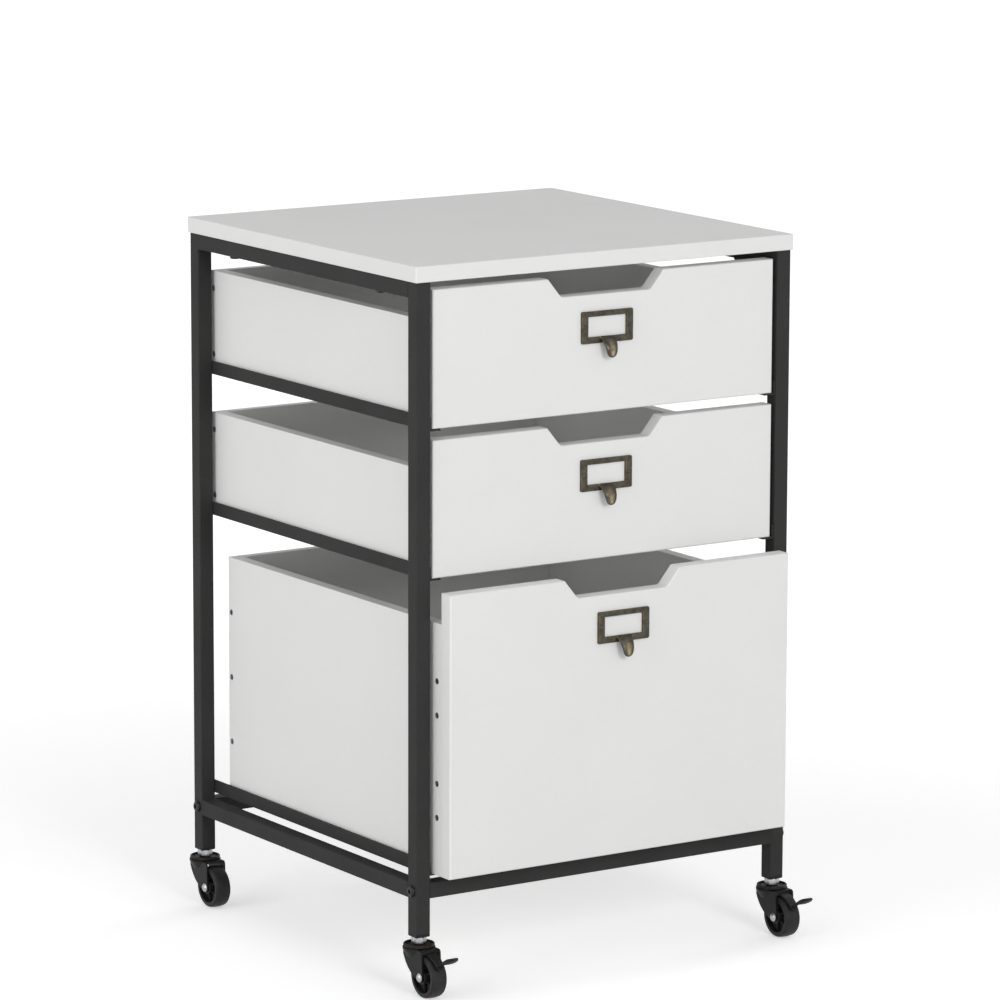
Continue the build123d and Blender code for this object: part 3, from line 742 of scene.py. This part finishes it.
@dataclass
class LabelPull:
    """A cast label frame with a spoon-shaped finger tongue, and its two domed pins."""

    drawer: Drawer
    width: float = 0.0568
    height: float = 0.0298
    rise: float = 0.0006
    plate: float = 0.0026
    side_border: float = 0.0072
    top_border: float = 0.0050
    bottom_border: float = 0.0060
    corner: float = 0.0015
    edge: float = 0.0006
    edge_share: float = 0.3
    window_corner: float = 0.0004
    corner_points: int = 6
    tongue_rings: int = 30
    tongue_points: int = 28
    squareness: float = 2.1
    rub_start: float = 0.22
    rub_rise: float = 0.40
    rub_stop: float = 0.82
    rub_fall: float = 0.14
    rub_facing: float = 0.88
    pin_radius: float = 0.0019
    pin_rise: float = 0.0009
    pin_points: int = 20
    # From a pin's foot to its crown: shares of its radius and of its rise
    pin_profile: Stations = ((1.0, 0.0), (1.0, 0.25), (0.88, 0.62), (0.62, 0.88), (0.30, 0.98))
    # Along the tongue: place, forward of the face, above the window's edge, half width, half thickness
    tongue: Stations = (
        (0.00, 0.0016, -0.0002, 0.0086, 0.0008),
        (0.08, 0.0030, -0.0014, 0.0084, 0.0014),
        (0.20, 0.0052, -0.0036, 0.0078, 0.0018),
        (0.36, 0.0076, -0.0068, 0.0071, 0.0020),
        (0.52, 0.0092, -0.0102, 0.0065, 0.0020),
        (0.68, 0.0099, -0.0136, 0.0058, 0.0019),
        (0.82, 0.0101, -0.0163, 0.0048, 0.0017),
        (0.93, 0.0101, -0.0182, 0.0034, 0.0013),
        (0.98, 0.0101, -0.0190, 0.0018, 0.0008),
        (1.00, 0.0101, -0.0193, 0.0006, 0.0003),
    )

    def build(self, shop: Workshop) -> None:
        """Make the pull and its pins on the drawer's front.

        Args:
            shop: makes the pieces.
        """
        body = f"{self.drawer}_drawer"
        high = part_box(f"{self.drawer}_label_pull")[1]
        shape = bmesh.new()
        shape.verts.layers.float.new(RUBBED_HIGHLIGHT)
        top = high.z + self.rise
        self.add_frame(shape, high.y, top)
        # The tongue starts at the window's lower edge and curves out and down to a spoon
        foot = Vector((0.0, high.y, top - self.height + self.bottom_border))
        tongue = strip(shape, self.tongue, self.tongue_rings, foot, self.tongue_points, self.squareness)
        self.rub(shape, tongue)
        shop.piece(f"{self.drawer}_cast_pull", shape, body, Slot.ANTIQUE_BRASS,
                   (f"{self.drawer}_label_pull",))
        pins = bmesh.new()
        profile = tuple((self.pin_radius * share, self.pin_rise * rise) for share, rise in self.pin_profile)
        reach = (self.width - self.side_border) / 2
        for side in (-1, 1):
            place = Vector((side * reach, high.y - self.plate, top - self.height / 2))
            turned(pins, lying(place, "X"), profile, self.pin_points)
        shop.piece(f"{self.drawer}_domed_pins", pins, body, Slot.ANTIQUE_BRASS,
                   (f"{self.drawer}_label_pins",))

    def add_frame(self, shape: Shape, face: float, top: float) -> None:
        """Add the plate with its window.

        Args:
            shape: mesh to add to.
            face: Y of the drawer's front face.
            top: height of the plate's upper edge.
        """
        middle = top - self.height / 2
        window_width = self.width - 2 * self.side_border
        window_height = self.height - self.top_border - self.bottom_border
        window_middle = top - self.top_border - window_height / 2
        soft = self.edge * self.edge_share
        front = self.plate
        shoulder = front - self.edge
        # Each ring: how much smaller than the plate, distance in front of the face
        plate = ((0.0, 0.0), (0.0, shoulder), (soft, front - soft), (self.edge, front))
        # Each ring: how much larger than the window, distance in front of the face
        window = ((self.edge, front), (0.0, shoulder), (0.0, 0.0))
        rings = []
        for inset, ahead in plate:
            rings.append((self.width - 2 * inset, self.height - 2 * inset, middle, self.corner, ahead))
        for outset, ahead in window:
            rings.append((window_width + 2 * outset, window_height + 2 * outset, window_middle,
                          self.window_corner, ahead))
        rows = []
        for across, tall, centre, radius, ahead in rings:
            outline = rounded_rectangle(across, tall, radius, self.corner_points)
            rows.append([Vector((x, face - ahead, centre + z)) for x, z in outline])
        skin(shape, rows, loop=True)

    def rub(self, shape: Shape, rows: Rows) -> None:
        """Mark the front of the tongue as rubbed bright by fingers and as carrying a painted highlight.

        Args:
            shape: mesh that holds the tongue.
            rows: points of the tongue, ring by ring.
        """
        layer = shape.verts.layers.float[RUBBED_HIGHLIGHT]
        for i, row in enumerate(rows):
            share = i / (len(rows) - 1)
            along = ramp(share, self.rub_start, self.rub_rise)
            along *= 1.0 - ramp(share, self.rub_stop, self.rub_fall)
            # Points turned to the front and up get the gold: finger wear, and a painted highlight
            for step, vert in enumerate(row):
                facing = math.sin(FULL_TURN * step / len(row))
                vert[layer] = along * ramp(facing, self.rub_facing, 1.0 - self.rub_facing)


@dataclass
class CrossScrews:
    """Countersunk screws with a cross recess, in place of a drawer's plain ones."""

    drawer: Drawer
    head_radius: float = 0.0029
    shank_radius: float = 0.00175
    head_depth: float = 0.00132
    rim: float = 0.00022
    sink: float = 0.00015
    arm_reach: float = 0.00165
    arm_half: float = 0.00042
    recess_depth: float = 0.0011
    recess_share: float = 0.55
    tip_share: float = 0.4
    points: int = 32
    same_point: float = 1e-6
    smooth: float = math.radians(30.0)

    def build(self, shop: Workshop) -> None:
        """Make every screw of the drawer.

        Args:
            shop: makes the pieces.
        """
        node = f"{self.drawer}_drawer_screws"
        draw = random.Random(node)
        shape = bmesh.new()
        for place, inward, length in self.places(node):
            turn = inward.to_track_quat("-Z", "Y").to_matrix().to_4x4()
            spin = Matrix.Rotation(draw.uniform(0.0, QUARTER_TURN), 4, "Z")
            self.add_screw(shape, Matrix.Translation(place) @ turn @ spin, length)
        shop.piece(f"{self.drawer}_cross_screws", shape, f"{self.drawer}_drawer", Slot.ZINC_STEEL,
                   (node,), self.smooth, Touch.SCREW_HEAD)

    def places(self, node: str) -> list[tuple[Vector, Vector, float]]:
        """Return the head's middle, the inward direction and the length of every screw of a solid.

        Args:
            node: solid that holds the screws.

        Returns:
            One row for each screw.
        """
        probe = bmesh.new()
        probe.from_mesh(frame["nodes"][node].data)
        bmesh.ops.remove_doubles(probe, verts=probe.verts, dist=self.same_point)
        left = set(probe.verts)
        found = []
        while left:
            stack = [left.pop()]
            group = []
            while stack:
                vert = stack.pop()
                group.append(vert.co.copy())
                for edge in vert.link_edges:
                    other = edge.other_vert(vert)
                    if other in left:
                        left.remove(other)
                        stack.append(other)
            found.append(self.measure(group))
        probe.free()
        return sorted(found, key=lambda row: tuple(row[0]))

    def measure(self, group: list[Vector]) -> tuple[Vector, Vector, float]:
        """Return the head's middle, the inward direction and the length of one screw.

        Args:
            group: points of the screw.

        Returns:
            The three measures.
        """
        low = Vector(min(point[k] for point in group) for k in range(3))
        high = Vector(max(point[k] for point in group) for k in range(3))
        size = high - low
        axis = max(range(3), key=lambda k: size[k])
        middle = (low + high) / 2
        off_axis = Vector(0.0 if k == axis else 1.0 for k in range(3))
        head = max(group, key=lambda point: ((point - middle) * off_axis).length)
        head_is_high = head[axis] > middle[axis]
        place = middle.copy()
        place[axis] = high[axis] if head_is_high else low[axis]
        inward = Vector((0.0, 0.0, 0.0))
        inward[axis] = -1.0 if head_is_high else 1.0
        return place, inward, size[axis]

    def add_screw(self, shape: Shape, place: Matrix, length: float) -> None:
        """Add one screw whose head faces up its own Z axis.

        Args:
            shape: mesh to add to.
            place: where the head's middle goes.
            length: length of the screw.
        """
        profile = (
            (self.shank_radius * self.tip_share, -length),
            (self.shank_radius, -length + self.shank_radius),
            (self.shank_radius, -self.head_depth),
            (self.head_radius, -self.rim),
            (self.head_radius - self.rim / 2, 0.0),
        )
        rim = turned(shape, place, profile, self.points, caps=False)[-1]
        mouth = [shape.verts.new(place @ point) for point in self.cross(-self.sink, 1.0)]
        foot = [shape.verts.new(place @ point) for point in self.cross(-self.recess_depth, self.recess_share)]
        edges = []
        for loop in (rim, mouth):
            for pair in zip(loop, loop[1:] + loop[:1]):
                edges.append(shape.edges.get(pair) or shape.edges.new(pair))
        bmesh.ops.triangle_fill(shape, use_beauty=True, edges=edges)
        for i in range(len(mouth)):
            j = (i + 1) % len(mouth)
            shape.faces.new((mouth[i], mouth[j], foot[j], foot[i]))
        shape.faces.new(foot)

    def cross(self, height: float, share: float) -> Ring:
        """Return the outline of the cross recess.

        Args:
            height: height of the outline.
            share: size of the arms' reach against the mouth.

        Returns:
            Twelve points in order.
        """
        reach = self.arm_reach * share
        half = self.arm_half * (1.0 + share) / 2
        corner = ((reach, -half), (reach, half), (half, half))
        points = []
        for quarter in range(4):
            turn = Matrix.Rotation(quarter * QUARTER_TURN, 3, "Z")
            points.extend(turn @ Vector((x, y, height)) for x, y in corner)
        return points


@dataclass
class WeldBeads:
    """Weld beads in the corners where rails and runners meet the posts."""

    radius: float = 0.0015
    runner_radius: float = 0.0009
    inset: float = 0.0020
    ripple: float = 0.16
    ripple_turn: float = 2.4
    uneven: float = 0.05
    end_power: int = 8
    end_least: float = 0.02
    rings: int = 26
    points: int = 12
    seed: int = 7

    def build(self, shop: Workshop) -> None:
        """Make the beads of the whole frame as one piece.

        Args:
            shop: makes the pieces.
        """
        draw = random.Random(self.seed)
        shape = bmesh.new()
        for side in ("left", "right"):
            for level, above in (("top", False), ("lower", False), ("lower", True)):
                low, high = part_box(f"{side}_{level}_rail")
                height = high.z if above else low.z
                for end in (low.y, high.y):
                    start = Vector((low.x + self.inset, end, height))
                    stop = Vector((high.x - self.inset, end, height))
                    self.add_bead(shape, start, stop, self.radius, draw)
        for drawer in Drawer:
            low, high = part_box(f"{drawer}_runners")
            for corner in Corner:
                post_low, post_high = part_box(f"{corner}_post")
                wall = low.x if post_low.x < 0.0 else high.x
                near = max(post_low.y, low.y) + self.inset
                far = min(post_high.y, high.y) - self.inset
                self.add_bead(shape, Vector((wall, near, high.z)), Vector((wall, far, high.z)),
                              self.runner_radius, draw)
        shop.piece("frame_weld_beads", shape, "frame", Slot.BLACK_STEEL)

    def add_bead(self, shape: Shape, start: Vector, stop: Vector, radius: float,
                 draw: random.Random) -> None:
        """Add one rippled bead between two points.

        Args:
            shape: mesh to add to.
            start: where the bead begins.
            stop: where it ends.
            radius: its mean radius.
            draw: source of its small differences.
        """
        along = (stop - start).normalized()
        first = along.orthogonal().normalized()
        second = along.cross(first)
        rings = []
        for step in range(self.rings):
            share = step / (self.rings - 1)
            round_end = math.sqrt(max(1.0 - (2.0 * share - 1.0) ** self.end_power, self.end_least))
            wave = self.ripple * math.sin(step * self.ripple_turn)
            size = radius * round_end * (1.0 + wave + draw.uniform(-self.uneven, self.uneven))
            centre = start.lerp(stop, share)
            ring = circle(size, 0.0, self.points)
            rings.append([centre + first * point.x + second * point.y for point in ring])
        skin(shape, rings)


@dataclass
class CasterHeads:
    """Zinc collars with chamfered flats, and the dark bearing cups below them."""

    flats: float = 0.0124
    chamfer: float = 0.0007
    foot_chamfer: float = 0.0018
    foot_share: float = 0.80
    top_share: float = 0.98
    stud_radius: float = 0.0040
    cup_wall: float = 0.0016
    cup_floor: float = 0.0014
    cup_height: float = 0.0032
    rounding: float = 0.0007
    rounding_share: float = 0.3
    groove: float = 0.0003
    race_radius: float = 0.0101
    race_rise: float = 0.0008
    rivet_radius: float = 0.0065
    rivet_height: float = 0.0025
    rivet_drop: float = 0.0022
    points: int = 72
    sides: int = 6
    collar_smooth: float = math.radians(25.0)
    cup_smooth: float = math.radians(35.0)

    def build(self, shop: Workshop) -> None:
        """Make the collars and cups of all four casters.

        Args:
            shop: makes the pieces.
        """
        low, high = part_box("caster_stems")
        collar_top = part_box("leg_inserts")[0].z
        cup_low = low.z + self.rivet_height + self.rivet_drop
        collars, cups = bmesh.new(), bmesh.new()
        for corner in Corner:
            post_low, post_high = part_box(f"{corner}_post")
            middle = (post_low + post_high) / 2
            place = Matrix.Translation((middle.x, middle.y, 0.0))
            self.add_cup(cups, place, high.x - abs(middle.x), cup_low, low.z)
            self.add_collar(collars, place, cup_low + self.cup_floor, collar_top, high.z)
        shop.piece("caster_collars", collars, "frame", Slot.ZINC_STEEL, ("caster_stems",), self.collar_smooth)
        shop.piece("caster_bearing_cups", cups, "frame", Slot.CASTER_STEEL, (), self.cup_smooth,
                   Touch.BEARING_CUP)

    def add_cup(self, shape: Shape, place: Matrix, radius: float, low: float, foot: float) -> None:
        """Add one bearing cup with its race ring and riveted foot.

        Args:
            shape: mesh to add to.
            place: axis of the stem.
            radius: outer radius of the cup.
            low: height of its underside.
            foot: height of the rivet's underside.
        """
        top = low + self.cup_height
        waist = (low + top) / 2
        floor = low + self.cup_floor
        inner = radius - self.cup_wall
        ledge = foot + self.rivet_height
        rounding = self.rounding
        soft = rounding * self.rounding_share
        profile = (
            (self.rivet_radius - rounding, foot), (self.rivet_radius, foot + rounding),
            (self.rivet_radius, ledge), (self.stud_radius, ledge), (self.stud_radius, low),
            (radius - rounding, low), (radius - soft, low + soft), (radius, low + rounding),
            (radius, waist - self.groove), (radius - self.groove, waist), (radius, waist + self.groove),
            (radius, top - rounding), (radius - soft, top - soft), (radius - rounding, top),
            (inner, top), (inner, floor), (self.race_radius + self.race_rise, floor),
            (self.race_radius, floor + self.race_rise), (self.race_radius - self.race_rise, floor),
            (self.stud_radius, floor),
        )
        turned(shape, place, profile, self.points)

    def add_collar(self, shape: Shape, place: Matrix, low: float, high: float, tip: float) -> None:
        """Add one hexagonal collar with the stud above it.

        Args:
            shape: mesh to add to.
            place: axis of the stem.
            low: height of the collar's underside.
            high: height of its upper face.
            tip: height of the stud's tip.
        """
        half = self.flats / 2
        side_turn = FULL_TURN / self.sides
        rings = []
        for height in (low + self.foot_chamfer, high - self.chamfer):
            ring = []
            for point in circle(half, height, self.points):
                off_flat = (math.atan2(point.y, point.x) + side_turn / 2) % side_turn - side_turn / 2
                stretch = 1.0 / math.cos(off_flat)
                ring.append(place @ Vector((point.x * stretch, point.y * stretch, height)))
            rings.append(ring)
        ends = ((half * self.top_share, high), (self.stud_radius, high), (self.stud_radius, tip))
        for radius, height in ends:
            rings.append([place @ point for point in circle(radius, height, self.points)])
        rings.insert(0, [place @ point for point in circle(half * self.foot_share, low, self.points)])
        skin(shape, rings)


@dataclass
class BrakeLever:
    """A pressed brake lever: a shoe that follows the tread, its pivot and a spoon-shaped pedal."""

    corner: Corner
    pin_forward: float = 0.0008
    pin_up: float = 0.0214
    pin_radius: float = 0.0010
    pin_dome: float = 0.00015
    pin_dome_share: float = 0.5
    pin_points: int = 24
    shoe_rings: int = 30
    pedal_rings: int = 40
    points: int = 32
    squareness: float = 6.0
    pedal_squareness: float = 3.2
    dish: float = 0.0005
    # Along each strip: place, forward of the axle, above it, half width, half thickness
    shoe: Stations = (
        (0.00, -0.0012, 0.0213, 0.0056, 0.0006),
        (0.08, 0.0008, 0.0214, 0.0058, 0.0007),
        (0.32, 0.0068, 0.0208, 0.0054, 0.0007),
        (0.55, 0.0123, 0.0185, 0.0048, 0.0007),
        (0.78, 0.0174, 0.0146, 0.0045, 0.0007),
        (0.90, 0.0196, 0.0121, 0.0040, 0.0007),
        (0.97, 0.0206, 0.0104, 0.0028, 0.0006),
        (1.00, 0.0209, 0.0098, 0.0012, 0.0003),
    )
    pedal: Stations = (
        (0.00, 0.0166, 0.0153, 0.0042, 0.0005),
        (0.07, 0.0186, 0.0139, 0.0042, 0.0007),
        (0.14, 0.0207, 0.0145, 0.0040, 0.0007),
        (0.24, 0.0232, 0.0158, 0.0036, 0.0007),
        (0.40, 0.0272, 0.0178, 0.0041, 0.0009),
        (0.55, 0.0311, 0.0196, 0.0051, 0.0017),
        (0.70, 0.0351, 0.0215, 0.0058, 0.0023),
        (0.82, 0.0386, 0.0232, 0.0059, 0.0023),
        (0.91, 0.0418, 0.0246, 0.0051, 0.0018),
        (0.97, 0.0442, 0.0255, 0.0033, 0.0010),
        (1.00, 0.0456, 0.0261, 0.0011, 0.0005),
    )

    def build(self, shop: Workshop) -> None:
        """Make the lever of one front caster.

        Args:
            shop: makes the pieces.
        """
        node = f"{self.corner}_brake_lever"
        wheel_low, wheel_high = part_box(f"{self.corner}_wheel")
        low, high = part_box(node)
        axle = (wheel_low + wheel_high) / 2
        shape = bmesh.new()
        strip(shape, self.shoe, self.shoe_rings, axle, self.points, self.squareness)
        strip(shape, self.pedal, self.pedal_rings, axle, self.points, self.pedal_squareness, self.dish)
        # The pivot lies across the lever and has slightly domed ends
        half = (high.x - low.x) / 2
        end = half + self.pin_dome
        crown = self.pin_radius * self.pin_dome_share
        profile = ((crown, -end), (self.pin_radius, -half), (self.pin_radius, half), (crown, end))
        pivot = axle + Vector((0.0, -self.pin_forward, self.pin_up))
        turned(shape, lying(pivot, "Y"), profile, self.pin_points)
        shop.piece(f"{self.corner}_spoon_lever", shape, f"{self.corner}_brake", Slot.CASTER_STEEL,
                   (node,))


@dataclass
class WheelRibs:
    """Moulded ribs in both recesses of a caster wheel."""

    corner: Corner
    count: int = 6
    hub: float = 0.0062
    rim: float = 0.0153
    web: float = 0.0024
    rise_hub: float = 0.0062
    rise_rim: float = 0.0050
    half_thick: float = 0.0007
    draft: float = 0.0002
    cut: float = 0.0002
    cut_segments: int = 2
    cut_profile: float = 0.5

    def build(self, shop: Workshop) -> None:
        """Make the ribs of one wheel.

        Args:
            shop: makes the pieces.
        """
        low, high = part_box(f"{self.corner}_wheel")
        centre = (low + high) / 2
        shape = bmesh.new()
        for side in (-1, 1):
            for i in range(self.count):
                turn = Matrix.Rotation(FULL_TURN * i / self.count, 4, "X")
                self.add_rib(shape, Matrix.Translation(centre) @ turn, side)
        bmesh.ops.bevel(shape, geom=list(shape.edges), offset=self.cut, segments=self.cut_segments,
                        affect="EDGES", profile=self.cut_profile)
        name = f"{self.corner}_wheel_ribs"
        shop.piece(name, shape, f"{self.corner}_roller", Slot.WHEEL_PLASTIC)

    def add_rib(self, shape: Shape, place: Matrix, side: int) -> None:
        """Add one rib that runs out along its own Z axis.

        Args:
            shape: mesh to add to.
            place: the wheel's middle, turned to the rib.
            side: which recess it stands in.
        """
        foot, tip = self.half_thick + self.draft, self.half_thick - self.draft
        rings = []
        for radius, rise in ((self.hub, self.rise_hub), (self.rim, self.rise_rim)):
            rings.append([
                place @ Vector((side * self.web, -foot, radius)),
                place @ Vector((side * self.web, foot, radius)),
                place @ Vector((side * rise, tip, radius)),
                place @ Vector((side * rise, -tip, radius)),
            ])
        for row in skin(shape, rings, caps=False):
            shape.faces.new(row)


@dataclass
class Studio:
    """Pale floor, soft light and the camera at the photograph's viewing angle."""

    azimuth: float = -33.322
    elevation: float = 10.471
    roll: float = 0.18
    distance: float = 5.1968
    target: tuple[float, float, float] = (0.01067, -0.00702, 0.41065)
    lens: float = 196.02
    sensor: float = 36.0
    sight: float = 240.0
    floor_half: float = 60.0
    floor_roughness: float = 0.9
    floor_tone: Colour = (0.80, 0.80, 0.80)
    seen_tone: Colour = (0.90, 0.90, 0.90)
    # The seen floor is lifted towards white, less within the near distance than beyond the far one
    near_lift: float = 0.42
    far_lift: float = 0.66
    near: float = 0.55
    far: float = 1.8
    low_sky: float = 0.84
    high_sky: float = 0.24
    seen_sky: float = 1.0
    # Each lamp: name, azimuth, elevation, distance, size, strength on a face turned to it
    lamps: tuple[tuple[str, float, float, float, float, float], ...] = (
        ("front_key", -6.0, 20.0, 3.6, 1.1, 0.30),
        ("left_fill", -86.0, 13.0, 3.4, 2.2, 0.28),
        ("right_fill", 104.0, 12.0, 14.0, 5.0, 0.20),
    )

    def build(self) -> None:
        """Make the floor, sky, lamps and camera."""
        self.make_floor()
        self.make_sky()
        for row in self.lamps:
            self.make_lamp(*row)
        self.make_camera()

    def aim(self, thing: bpy.types.Object, azimuth: float, elevation: float, distance: float,
            roll: float = 0.0) -> None:
        """Stand a lamp or camera round the cart and turn it to the cart.

        Args:
            thing: lamp or camera.
            azimuth: where it stands, in degrees from the front towards the right.
            elevation: how high it stands, in degrees.
            distance: how far away it stands.
            roll: how far it is turned about its line of sight, in degrees.
        """
        turn, rise = math.radians(azimuth), math.radians(elevation)
        back = Vector((math.sin(turn) * math.cos(rise), -math.cos(turn) * math.cos(rise), math.sin(rise)))
        view = (-back).to_track_quat("-Z", "Y").to_matrix().to_4x4()
        spin = Matrix.Rotation(math.radians(roll), 4, "Z")
        thing.matrix_world = Matrix.Translation(Vector(self.target) + back * distance) @ view @ spin

    def make_floor(self) -> None:
        """Make the pale floor, lifted to white where it is seen, with the cart's shadow kept."""
        half = self.floor_half
        corners = [(-half, -half, 0.0), (half, -half, 0.0), (half, half, 0.0), (-half, half, 0.0)]
        mesh = bpy.data.meshes.new("studio_floor")
        mesh.from_pydata(corners, [], [tuple(range(len(corners)))])
        sheet = ShaderSheet("pale_floor")
        seen = sheet.seen_directly()
        distance = sheet.compute("LENGTH", sheet.place, kind=VECTOR_STEP)
        lift = sheet.spread(distance, self.near_lift, self.far_lift, self.near, self.far)
        sheet.use(Base_Color=sheet.mix(seen, self.floor_tone, self.seen_tone), Roughness=self.floor_roughness,
                  Specular_IOR_Level=0.0, Emission_Color=WHITE,
                  Emission_Strength=sheet.compute("MULTIPLY", lift, seen))
        mesh.materials.append(sheet.material)
        add_object("studio_floor", mesh)

    def make_sky(self) -> None:
        """Make a sky that lights softly, more from low down than from above, and looks white."""
        world = bpy.data.worlds.new("studio_sky")
        world.use_nodes = True
        sheet = NodeSheet(world.node_tree)
        back = next(node for node in sheet.tree.nodes if node.type == "BACKGROUND")
        direction = sheet.add("ShaderNodeTexCoord").outputs["Generated"]
        parts = sheet.add("ShaderNodeSeparateXYZ", Vector=direction)
        glow = sheet.spread(parts.outputs["Z"], self.low_sky, self.high_sky, 0.0, 1.0)
        strength = sheet.spread(sheet.seen_directly(), glow, self.seen_sky, 0.0, 1.0)
        sheet.fill(back, Color=WHITE, Strength=strength)
        bpy.context.scene.world = world

    def make_lamp(self, name: str, azimuth: float, elevation: float, distance: float, size: float,
                  strength: float) -> None:
        """Make one soft square lamp aimed at the cart.

        Args:
            name: name of the lamp.
            azimuth: where it stands round the cart, in degrees.
            elevation: how high it stands, in degrees.
            distance: how far away it stands.
            size: side of the square.
            strength: light on a white face turned to it, where 1 renders white.
        """
        lamp = bpy.data.lights.new(name, "AREA")
        lamp.shape = "SQUARE"
        lamp.size = size
        lamp.energy = strength * (math.pi * distance) ** 2
        self.aim(add_object(name, lamp), azimuth, elevation, distance)

    def make_camera(self) -> None:
        """Make the camera at the photograph's place."""
        lens = bpy.data.cameras.new("photo_camera")
        lens.lens = self.lens
        lens.sensor_width = self.sensor
        lens.clip_end = self.sight
        thing = add_object("photo_camera", lens)
        self.aim(thing, self.azimuth, self.elevation, self.distance, self.roll)
        bpy.context.scene.camera = thing


def main() -> None:
    """Build the cart's finishes and fine pieces, then the studio."""
    logging.basicConfig(level=logging.INFO, format="%(name)s: %(message)s")
    bpy.context.scene.view_settings.view_transform = "Standard"
    shop = Workshop()
    shop.dress()
    WeldBeads().build(shop)
    for drawer in Drawer:
        LabelPull(drawer).build(shop)
        CrossScrews(drawer).build(shop)
    CasterHeads().build(shop)
    for corner in Corner:
        WheelRibs(corner).build(shop)
    for corner in (Corner.FRONT_LEFT, Corner.FRONT_RIGHT):
        BrakeLever(corner).build(shop)
    Studio().build()


if __name__ == "__main__":
    main()
